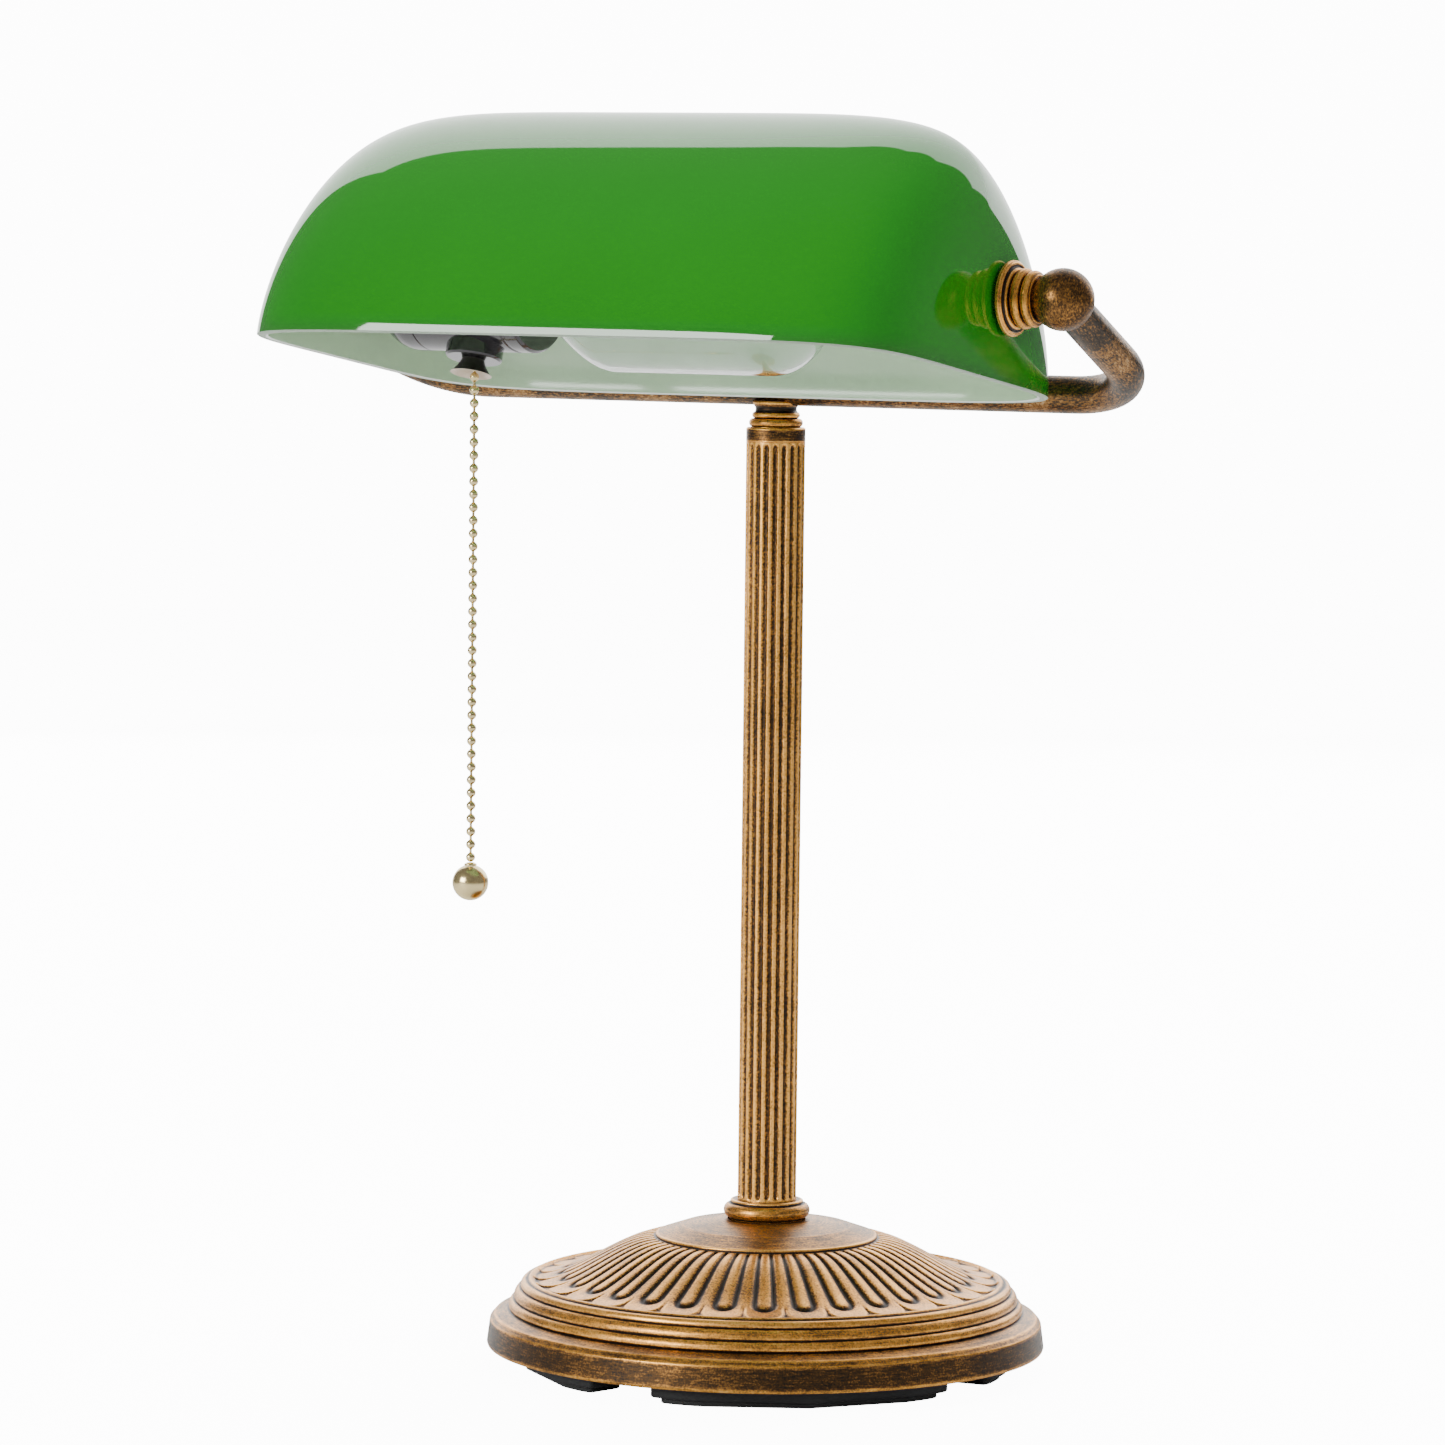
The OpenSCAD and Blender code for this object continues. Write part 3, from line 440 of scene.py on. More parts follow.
CAST = bronze("bronze_cast", lift=0.02, streak=0.52, speckle=0.4, patch=0.3)
TURNED = bronze("bronze_turned", lift=-0.16, streak=0.6, speckle=0.35, patch=0.45)
STEM = bronze("bronze_stem", lift=0.1, streak=0.3, speckle=0.6, patch=0.25, gold=(0.8, 0.37, 0.065))
TUBE = bronze("bronze_tube", lift=-0.12, streak=0.7, speckle=0.3, patch=0.5, gold=(0.46, 0.31, 0.16))
BRASS = metal("polished_brass", (0.83, 0.67, 0.34), 0.2)
STEEL = metal("zinc_steel", (0.58, 0.58, 0.6), 0.32)
WIRE = metal("drawn_wire", (0.45, 0.44, 0.43), 0.3)
ROLLED = metal("rolled_aluminium", (0.75, 0.76, 0.78), 0.25)
IRON = painted("raw_iron", (0.05, 0.05, 0.055), 0.6)
ENAMEL = painted("black_enamel", (0.015, 0.015, 0.015), 0.4)
GUIDE_SKIN = painted("guide_lacquer", (0.035, 0.036, 0.026), 0.3)
GUIDE_LINING = painted("guide_lining", (0.72, 0.62, 0.5), 0.4)
RUBBER = rubber()
PHENOLIC = phenolic()
CERAMIC = ceramic()
GREEN = green_case()
OPAL = opal_lining()
EDGE = ground_edge()
LIP = painted("opal_lip", (0.82, 0.9, 0.82), 0.2)
CLEAR = clear_glass()


# ---------------------------------------------------------------- base


def smooth(t):
    t = np.clip(t, 0, 1)
    return t * t * (3 - 2 * t)


def groove(distance, width):
    return np.exp(-((distance / width) ** 2))


def base_outline():
    """The casting's section, from its lower edge up to the stem's seat, as (radius, height)."""
    def p(inset, rise, radius=0.4):
        return BASE_R - inset, BASE_Z + rise, radius

    points = [p(0.9, 0, 0.1), p(0.3, 0, 0.3), p(0, 0.8), p(1, 8.5, 1.2), p(2.6, 10.3, 1.5)]
    outline = list(fillet(points, steps=6))
    edges = [p(7.6, 12.1), p(9.2, 15.5), p(11.4, 19.2), p(13.4, 21.6)]
    for a, b in zip(edges[:-1], edges[1:]):
        a, b = np.array(a[:2]), np.array(b[:2])
        side = np.array([(b - a)[1], -(b - a)[0]]) / np.linalg.norm(b - a)
        for t in np.linspace(0, 1, 13):
            outline.append(a + (b - a) * t + side * 0.95 * (1 - (2 * t - 1) ** 2) ** 0.7)
    dome_r, dome_z = BASE_R - 16.6, BASE_Z + 22
    skirt_r, skirt_z = 37.3, SEAT_Z - 5
    lip = [p(13.7, 21.9), p(14.4, 22.5), p(15.4, 22.65)]
    outline += [np.array(q[:2]) for q in lip]
    for r in np.linspace(dome_r, skirt_r, 96):
        t = (dome_r - r) / (dome_r - skirt_r)
        outline.append(np.array([r, dome_z + (skirt_z - 1.2 - dome_z) * float(smooth(t))]))
    top = [(skirt_r, skirt_z - 1.2, 0.2), (skirt_r - 0.1, skirt_z - 0.2, 0.5)]
    top += [(28.5, SEAT_Z - 2.2, 2.5), (16, SEAT_Z - 0.05, 0.2), (13.2, SEAT_Z)]
    outline += list(fillet(top, steps=6))
    return np.array(outline)


def petal_relief(radius, turn):
    """Depth of the cast petals below the dome, and how rubbed each spot is, by radius and angle."""
    step = 2 * math.pi / PETALS
    centre = math.radians(PETAL_BEARING - 90)
    off = (turn - centre + step / 2) % step - step / 2
    side = np.abs(off) * radius
    half = radius * step / 2
    tongue_tip, petal_neck, petal_tip = 68.6, 71.5, 78.4
    tongue_half = 0.36 * half
    gap = 0.13 * half
    past_tip = np.maximum(radius - (tongue_tip - 0.36 * tongue_tip * step / 2), 0)
    from_tongue = np.sqrt(side**2 + past_tip**2) - tongue_half
    trench = groove(from_tongue - gap, gap)
    tongue = np.clip(-from_tongue / tongue_half, 0, 1) ** 0.5
    rib = np.clip((from_tongue - 2 * gap) / tongue_half, 0, 1) ** 0.5 * (radius < petal_tip)
    flare = np.clip((radius - petal_neck) / (petal_tip - petal_neck), 0, 1)
    outline = half * np.sqrt(np.clip(1 - flare**1.6, 0, 1))
    inside = outline - side
    seam = groove(inside, 0.42) * smooth((radius - 66) / 6) * (radius < petal_tip + 0.4)
    outside = smooth((side - outline) / 0.5) * (radius > petal_neck)
    leaf_edge = groove(inside - 0.95, 0.42) * (radius > petal_neck - 2)
    fade = smooth((radius - 37.6) / 1.2) * smooth((79.2 - radius) / 0.8)
    depth = -0.7 * trench - 0.5 * seam - 0.55 * outside
    depth = depth + 0.25 * tongue + 0.2 * rib + 0.1 * leaf_edge - 0.3
    vein = groove(side, 0.35) * (radius > tongue_tip + 1.4) * (radius < petal_tip - 1)
    rubbed = 0.62 * tongue + 0.42 * rib - 1.1 * trench - 0.8 * seam - 0.6 * outside
    rubbed = rubbed + 0.35 * leaf_edge + 0.15 * vein
    return depth * fade, rubbed * fade


def base_casting():
    outline = dense(base_outline(), 0.42)
    inner = np.array([
        (13.2, SEAT_Z - 4), (28, SEAT_Z - 6.5), (37, SEAT_Z - 9), (60, BASE_Z + 26), (76, BASE_Z + 19),
        (84, BASE_Z + 9), (90.4, BASE_Z + 7), (BASE_R - 3, BASE_Z + 0.2), (BASE_R - 1.2, BASE_Z),
    ])
    edge = np.concatenate([convexity(outline, 0.9), np.zeros(len(inner))])
    full = np.concatenate([outline, inner])
    seg = PETALS * 26
    turn = np.arange(seg) * 2 * math.pi / seg
    r, z = full[:, 0][None, :], full[:, 1][None, :]
    depth, rubbed = petal_relief(r, turn[:, None])
    on_top = np.zeros(len(full))
    on_top[: len(outline)] = (outline[:, 0] > 37.5) & (outline[:, 0] < 79.4) & (outline[:, 1] > BASE_Z + 20)
    depth, rubbed = depth * on_top, rubbed * on_top
    c, s = np.cos(turn)[:, None], np.sin(turn)[:, None]
    verts = np.stack([r * c, r * s, z + depth], -1).reshape(-1, 3)
    along = np.concatenate([[0], np.cumsum(np.linalg.norm(np.diff(full, axis=0), axis=1))])
    stretch = np.where(on_top > 0, 0.8, 0.1)[None, :]
    lengthwise = np.where(on_top > 0, 0.35, 1.0) * along
    flow = np.stack([r * c * stretch, r * s * stretch, lengthwise[None, :] + 0 * c], -1).reshape(-1, 3)
    side = (full[:, 0] > BASE_R - 1.6) & (full[:, 1] < BASE_Z + 8.4)
    wear = (0.75 * edge[None, :] + rubbed - 0.4 * side[None, :]).reshape(-1)
    obj = add_mesh(
        "base_shell", verts, ring_quads(seg, len(full)), "lamp", CAST, flow, wear, 60
    )
    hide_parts("base_casting")


def foot(node):
    """A foot pad: a narrower sole under a wider flange, with rounded edges."""
    mid = middle(node)
    bearing = math.atan2(mid.y, mid.x)
    sole_h, flange_top, sole_r, sole_w, lip, span = 2.1, 7.8, 81.5, 15, 2.5, math.radians(70)

    def block(low, high, inner, outer, wide):
        mean = (inner + outer) / 2
        half = (outer - inner) / 2
        end = span / 2 * mean + wide
        ring = []
        for a in np.linspace(0, 2 * math.pi, 96, endpoint=False):
            x = math.copysign(abs(math.cos(a)) ** 0.12, math.cos(a)) * end
            y = math.copysign(abs(math.sin(a)) ** 0.12, math.sin(a)) * half
            ring.append((x, y))
        ring = np.array(ring)
        layers = [(0.9, low), (0.35, low + 0.12), (0.06, low + 0.5), (0, low + 0.9)]
        layers += [(0, high - 0.5), (0.3, high)]
        rows = []
        for inset, height in layers:
            scale = np.array([(end - inset) / end, (half - inset) / half])
            q = ring * scale
            t = bearing + q[:, 0] / mean
            rad = mean + q[:, 1]
            rows.append(np.stack([rad * np.cos(t), rad * np.sin(t), np.full(len(q), height)], 1))
        return np.array(rows)

    verts, faces = [], []
    for rows in (
        block(0, sole_h + 0.2, sole_r - sole_w, sole_r, 0),
        block(sole_h, flange_top, sole_r - sole_w - lip, sole_r + lip, lip),
    ):
        start = len(verts)
        n, m = rows.shape[:2]
        verts += rows.reshape(-1, 3).tolist()
        quads = ring_quads(n, m, close_rows=False)[:, ::-1] + start
        faces += quads.tolist()
        faces.append([start + j for j in range(m)][::-1])
        faces.append([start + (n - 1) * m + j for j in range(m)])
    obj = add_mesh(node + "_pad", verts, faces, "lamp", RUBBER)
    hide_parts(node)


# ---------------------------------------------------------------- stem


def turned(name, nodes, points, material, slot, place=None, body="lamp", **options):
    """A turned piece that stands for CAD nodes; its outline is rounded at the corners."""
    rounding = options.pop("rounding", 0.4)
    obj = lathe(name, fillet(points, rounding), body, material, place, **options)
    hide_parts(*nodes)
    return obj


def foot_collar():
    low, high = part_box("foot_collar")
    r, z0, z1 = high.x / MM, low.z / MM, POLE_Z[0]
    bore = 5.0
    bulge = [
        (r - 2.4 * (1 - math.cos(a)), z0 + 2.9 + 2.5 * math.sin(a), 0.05)
        for a in np.linspace(-1.25, 1.3, 12)
    ]
    points = [(bore, z0), (r - 1.9, z0, 0.2), *bulge, (r - 2.3, z1 - 1.25, 0.1), (r - 2.3, z1 - 0.3, 0.3)]
    points += [(r - 2.8, z1 - 0.02, 0.3), (bore, z1), (bore, z0)]
    turned("stem_foot_collar", ["foot_collar"], points, TURNED, "bronze", reach=0.8, step=0.25)


def pole():
    """The fluted stem: rounded flutes that stop short of both ends."""
    z0, z1 = POLE_Z
    per = 14
    seg = FLUTES * per
    turn = np.arange(seg) * 2 * math.pi / seg + math.radians(PETAL_BEARING - 90)
    phase = (np.arange(seg) % per) / per * 2 * math.pi
    hollow = 0.5 + 0.5 * np.cos(phase)
    hollow = smooth(hollow * 1.25 - 0.18)
    end = 3.4
    heights = np.concatenate([
        np.linspace(0, end, 10),
        np.linspace(end, z1 - z0 - end, 60)[1:-1],
        np.linspace(z1 - z0 - end, z1 - z0, 10),
    ])
    rows, wears = [], []
    for h in heights:
        room = min(h, z1 - z0 - h)
        reach = smooth((room - 0.5 - 1.5 * (1 - np.sqrt(np.clip(hollow, 0, 1)))) / 0.9)
        cut = hollow * reach
        r = POLE_R - 0.82 * cut
        rows.append(np.stack([r * np.cos(turn), r * np.sin(turn), np.full(seg, z0 + h)], 1))
        wears.append(0.5 - 1.1 * cut)
    inner = POLE_R - 2
    for h in (z1 - z0, 0):
        rows.append(np.stack([inner * np.cos(turn), inner * np.sin(turn), np.full(seg, z0 + h)], 1))
        wears.append(np.zeros(seg))
    grid = np.array(rows).transpose(1, 0, 2)
    wear = np.array(wears).T
    verts = grid.reshape(-1, 3)
    flow = verts * np.array([1, 1, 0.3])
    quads = ring_quads(seg, grid.shape[1])
    obj = add_mesh("fluted_stem", verts, quads, "lamp", STEM, flow, wear.reshape(-1), 60)
    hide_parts("pole")


def stem_top():
    z0, z1 = POLE_Z[1], BAND_TOP
    bore, r = 5.0, POLE_R
    band = [(bore, z0), (r - 0.2, z0, 0.1), (r, z0 + 0.25, 0.2), (r, z1 - 0.4, 0.3), (r - 0.4, z1, 0.3)]
    band += [(bore, z1), (bore, z0)]
    turned("stem_band", ["top_band"], band, TURNED, "bronze", reach=0.5, step=0.2)
    h = BAR_Z - TUBE_R - z1
    ring = []
    for radius, level, half in ((r - 0.9, 0.21, 1.45), (r - 1.9, 0.56, 1.15)):
        for a in np.linspace(-1.2, 1.2, 9):
            ring.append((radius - 1.3 * (1 - math.cos(a)), z1 + h * level + half * math.sin(a), 0.03))
    top = BAR_Z - TUBE_R * 0.75
    points = [(bore, z1), (r - 1.7, z1 + 0.02, 0.1), *ring]
    points += [(r - 3, z1 + h * 0.78, 0.5), (r - 3, z1 + h * 0.9, 0.6)]
    points += [(r - 2.2, z1 + h * 1.08, 0.6), (r - 2.1, top - 0.4, 0.4), (r - 2.6, top, 0.3)]
    points += [(bore, top), (bore, z1)]
    turned("stem_neck", ["neck"], points, TURNED, "bronze", reach=0.6, step=0.2)


# ---------------------------------------------------------------- yoke and pivots


def yoke():
    """The bent tube, swept along its centreline."""
    reach = Vector((0, PIVOT.y, PIVOT.z - BAR_Z * MM)) / MM
    length = reach.length
    forward = np.array([0, reach.y, reach.z]) / length
    path, tangents = [], []
    arm_end = length - ARM_SEAT
    for d in np.linspace(arm_end, BEND_R, 22)[:-1]:
        path.append(-YOKE_HALF * np.array([1, 0, 0]) + forward * d)
        tangents.append(-forward)
    for a in np.linspace(0, math.pi / 2, 20):
        x = -(YOKE_HALF - BEND_R) - BEND_R * math.cos(a)
        path.append(np.array([x, 0, 0]) + forward * BEND_R * (1 - math.sin(a)))
        tangents.append(np.array([math.sin(a), 0, 0]) - forward * math.cos(a))
    for x in np.linspace(-(YOKE_HALF - BEND_R), 0, 40)[1:]:
        path.append(np.array([x, 0, 0.0]))
        tangents.append(np.array([1.0, 0, 0]))
    flip = np.array([-1, 1, 1])
    path += [p * flip for p in path[-2::-1]]
    tangents += [t * np.array([1, -1, -1]) for t in tangents[-2::-1]]
    path = np.array(path) + np.array([0, 0, BAR_Z])
    along = np.concatenate([[0], np.cumsum(np.linalg.norm(np.diff(path, axis=0), axis=1))])
    across = np.cross([1, 0, 0], forward)
    seg = 64
    turn = np.arange(seg) * 2 * math.pi / seg
    verts, flow = [], []
    for radius in (TUBE_R, TUBE_R - 1.2):
        for p, t, s in zip(path, tangents, along):
            t = t / np.linalg.norm(t)
            side = np.cross(across, t)
            ring = p + radius * (np.outer(np.cos(turn), across) + np.outer(np.sin(turn), side))
            verts.append(ring)
            flow.append(np.stack([np.cos(turn) * radius, np.sin(turn) * radius, np.full(seg, s * 0.3)], 1))
    n = len(path)
    quads = ring_quads(n, seg, close_rows=False)
    inner = quads[:, ::-1] + n * seg
    j = np.arange(seg)
    j1 = (j + 1) % seg
    start = np.stack([j, j1, j1 + n * seg, j + n * seg], 1)[:, ::-1]
    last = (n - 1) * seg
    stop = np.stack([j, j1, j1 + n * seg, j + n * seg], 1) + last
    faces = np.concatenate([quads, inner, start, stop])[:, ::-1]
    wear = np.zeros(2 * n * seg)
    obj = add_mesh("yoke_tube", np.concatenate(verts), faces, "lamp", TUBE, np.concatenate(flow), wear, 50)
    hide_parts("yoke")


def pivot_hardware(side, word):
    place = along_pivot(side)
    ends = sorted((v.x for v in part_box(f"seat_flange_{word}")), key=abs)
    inner, outer = (abs(v) / MM for v in ends)
    r = size(f"seat_flange_{word}").z / MM / 2
    bore = 4.9
    points = [(bore, inner), (r - 0.5, inner, 0.3), (r, inner + 0.4, 0.4), (r, inner + 1.4, 0.5)]
    points += [(r - 0.8, inner + 2.2, 0.5), (r - 2.0, inner + 1.9, 0.4), (9.6, outer - 0.2, 0.3)]
    points += [(9.2, outer), (bore, outer), (bore, inner)]
    flange = f"pivot_flange_{word}"
    turned(flange, [f"seat_flange_{word}"], points, TURNED, "bronze", place, step=0.25)

    ends = sorted((v.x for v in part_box(f"ring_collar_{word}")), key=abs)
    low, high = (abs(v) / MM for v in ends)
    h = high - low
    big = size(f"ring_collar_{word}").z / MM / 2
    rings = []
    for radius, level in ((big, 0.27), (big - 0.65, 0.74)):
        for a in np.linspace(-1.35, 1.35, 11):
            rings.append((radius - 1.5 * (1 - math.cos(a)), low + h * (level + 0.225 * math.sin(a)), 0.02))
    points = [(bore, low), (big - 1.6, low, 0.1), *rings]
    points += [(big - 2.2, high), (bore, high), (bore, low)]
    collar = f"pivot_rings_{word}"
    turned(collar, [f"ring_collar_{word}"], points, TURNED, "bronze", place, step=0.2, reach=0.6)

    ball = size(f"ball_{word}").z / MM / 2
    centre = YOKE_HALF
    cut = math.acos(0.81)
    points = [(4.85, centre - 0.81 * ball)]
    points += [(ball * math.sin(a), centre - ball * math.cos(a), 0.02) for a in np.linspace(cut, math.pi, 48)]
    points += [(0.02, centre - 3), (4.85, centre - 3), (4.85, centre - 0.81 * ball)]
    turned(f"end_ball_{word}", [f"ball_{word}"], points, TURNED, "bronze", place, rounding=0.02, stretch=0.5)


# ---------------------------------------------------------------- socket


def open_wall(mesh):
    """Takes out the faces that would stand across the chain guide's bore."""
    axis, start = np.array(GUIDE_AXIS), np.array(GUIDE_FOOT)
    near = []
    for face in mesh.polygons:
        reach = np.array(face.center) - start
        along = reach @ axis
        if along > 0 and np.linalg.norm(reach - along * axis) < 3.0 * MM:
            near.append(face.index)
    cut = bmesh.new()
    cut.from_mesh(mesh)
    cut.faces.ensure_lookup_table()
    bmesh.ops.delete(cut, geom=[cut.faces[i] for i in near], context="FACES")
    cut.to_mesh(mesh)
    cut.free()


def socket():
    place = along_pivot(-1)
    cap_in, cap_out = sorted(abs(v.x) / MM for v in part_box("socket_cap"))
    r = size("socket_cap").z / MM / 2
    flat_r = 11
    dome = [
        (flat_r + (r - flat_r) * math.sin(a), cap_out - flat_r * (1 - math.cos(a)), 0.05)
        for a in np.linspace(0.05, 1.57, 16)
    ]
    points = [(r - 1.6, cap_in), (r, cap_in, 0.3), (r, cap_in + 2.4, 0.1), *dome[::-1], (4.9, cap_out)]
    points += [(4.9, cap_out - 1.6), (r - 4, cap_out - 6), (r - 1.6, cap_in + 2), (r - 1.6, cap_in)]
    turned("socket_cap_shell", ["socket_cap"], points, PHENOLIC, "socket", place, sharp=30)
    low = min(abs(v.x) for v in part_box("socket_shell")) / MM
    mouth = 14.6
    points = [(mouth, low), (r - 0.9, low, 0.5), (r, low + 0.9, 0.6), (r, low + 5, 0.1)]
    points += [(r - 0.35, low + 5.4, 0.1), (r - 0.35, low + 6.2, 0.1), (r, low + 6.6, 0.1)]
    points += [(r, cap_in - 0.15, 0.3), (r - 1.8, cap_in - 0.1), (r - 2.8, cap_in - 0.1)]
    points += [(r - 2.8, low + 1.6), (mouth, low + 1.6), (mouth, low)]
    looks = {"rounding": 0.2, "sharp": 30}
    shell = turned("socket_body", ["socket_shell"], points, PHENOLIC, "socket", place, **looks)
    open_wall(shell.data)
    boss = 24.3
    bore, foot_at = 3.5, 18.5
    points = [(bore, foot_at), (9.5, foot_at, 0.1), (9.5, boss - 0.7, 0.5), (8.9, boss, 0.5)]
    points += [(bore, boss), (bore, foot_at)]
    collar = lathe("socket_boss", fillet(points), "lamp", PHENOLIC, on_guide(), seg=96)


def chain_guide():
    """The bell mouth that the chain runs out of: dark outside, pale inside."""
    neck_out, neck_in, start, flare, end, mouth = 3.4, 2.6, 18.2, 21.3, 29.3, 6.9
    t = np.linspace(0, 1, 14)
    outside = [(neck_out + (mouth - neck_out) * a**2.4, flare + (end - flare) * a) for a in t]
    inside = [(neck_in + (mouth - 0.5 - neck_in) * a**2.4, flare + (end - flare) * a) for a in t[::-1]]
    rounded = [(mouth + 0.0, end), (mouth - 0.15, end + 0.12), (mouth - 0.4, end + 0.1)]
    outer = np.array([(neck_in, start), (neck_out, start), *outside, *rounded[:1]])
    lining = np.array([*rounded, *inside, (neck_in, start)])
    sheets = (("guide_bell", outer, GUIDE_SKIN), ("guide_bell_lining", lining, GUIDE_LINING))
    for name, outline, skin in sheets:
        outline = dense(outline, 0.3)
        seg = 96
        turn = np.arange(seg) * 2 * math.pi / seg
        c, s = np.cos(turn)[:, None], np.sin(turn)[:, None]
        r, z = outline[:, 0][None, :], outline[:, 1][None, :]
        verts = np.stack([r * c, r * s, z + 0 * c], -1).reshape(-1, 3)
        quads = ring_quads(seg, len(outline), close_cols=False)
        obj = add_mesh(name, verts, quads, "lamp", skin, places=on_guide())
        if name == "guide_bell":
            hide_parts("chain_guide")


# ---------------------------------------------------------------- chain


def ball_verts(centre, radius, rings=14, seg=22):
    verts, faces = [], []
    for i in range(rings + 1):
        a = math.pi * i / rings
        for j in range(seg):
            b = 2 * math.pi * j / seg
            ring = max(math.sin(a), 0.004) * radius
            offset = (ring * math.cos(b), ring * math.sin(b), -radius * math.cos(a))
            verts.append(tuple(c + o for c, o in zip(centre, offset)))
    for i in range(rings):
        for j in range(seg):
            j1 = (j + 1) % seg
            faces.append((i * seg + j, i * seg + j1, (i + 1) * seg + j1, (i + 1) * seg + j))
    faces.append(tuple(range(seg))[::-1])
    faces.append(tuple(rings * seg + j for j in range(seg)))
    return verts, faces


def chain():
    """Hollow beads on short dumbbell links, hanging straight down, with the ball knob at the end."""
    low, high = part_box("pull_chain")
    x, y = middle("pull_chain").x / MM, middle("pull_chain").y / MM
    bead, pitch = 1.55, 4.3
    top, bottom = high.z / MM - bead, low.z / MM + bead
    count = round((top - bottom) / pitch) + 1
    verts, faces = [], []

    def take(piece):
        start = len(verts)
        verts.extend(piece[0])
        faces.extend([tuple(i + start for i in f) for f in piece[1]])

    for i in range(count):
        take(ball_verts((x, y, top - i * pitch), bead))
    for i in range(count - 1):
        z1, z0 = top - i * pitch - bead * 0.9, top - (i + 1) * pitch + bead * 0.9
        seg = 12
        levels = [(z0, 0.75), (z0 + 0.25, 0.45), (z1 - 0.25, 0.45), (z1, 0.75)]
        ring = [
            (x + r * math.cos(2 * math.pi * j / seg), y + r * math.sin(2 * math.pi * j / seg), z)
            for z, r in levels for j in range(seg)
        ]
        quads = [
            (k * seg + j, k * seg + (j + 1) % seg, (k + 1) * seg + (j + 1) % seg, (k + 1) * seg + j)
            for k in range(len(levels) - 1) for j in range(seg)
        ]
        quads += [tuple(range(seg))[::-1], tuple((len(levels) - 1) * seg + j for j in range(seg))]
        take((ring, quads))
    beads = add_mesh("bead_chain", verts, faces, "chain", BRASS)
    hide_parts("pull_chain")

    knob_low, knob_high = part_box("ball_knob")
    r = (knob_high.x - knob_low.x) / MM / 2
    z = knob_low.z / MM + r
    place = Matrix.Translation((x * MM, y * MM, 0))
    points = [(r * math.sin(a), z - r * math.cos(a), 0.02) for a in np.linspace(0.003, 2.72, 48)]
    points += [(0.02, z + r * 0.9), (0.02, z - r)]
    knob = turned("pull_ball", ["ball_knob"], points, BRASS, "brass", place, "chain", rounding=0.02, seg=72)
    low_c, high_c = (v.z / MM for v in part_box("chain_coupling"))
    points = [(0.02, low_c), (2.1, low_c, 0.2), (2.1, high_c - 0.5, 0.3), (1.2, high_c, 0.2)]
    points += [(0.02, high_c), (0.02, low_c)]
    fine = {"rounding": 0.2, "seg": 48}
    cap = turned("chain_end_cap", ["chain_coupling"], points, BRASS, "brass", place, "chain", **fine)


# ---------------------------------------------------------------- bulb


def bulb():
    place = along_pivot(-1)
    high = max(-v.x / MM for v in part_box("bulb_glass"))
    tip = min(-v.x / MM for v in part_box("bulb_glass"))
    shell_in = high - 11.3
    r_out, neck_out, corner, shoulder = size("bulb_glass").z / MM / 2, 12.0, 16, 31

    def skin(wall):
        r, neck, end = r_out - wall, neck_out - wall, tip + wall
        pts = [(neck, shell_in + 11.2), (neck, shell_in + 1)]
        pts += [
            (neck + (r - neck) * float(smooth(t)), shell_in - shoulder * t)
            for t in np.linspace(0.04, 1, 20)
        ]
        k = corner - wall
        pts += [(r - k + k * math.cos(a), end + k - k * math.sin(a)) for a in np.linspace(0, math.pi / 2, 16)]
        return pts + [(0.02, end)]

    outline = np.array(skin(0)[::-1] + skin(0.8))
    glass = lathe("bulb_envelope", outline, "lamp", CLEAR, place, step=1.2, sharp=60)
    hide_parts("bulb_glass")


# ---------------------------------------------------------------- shade


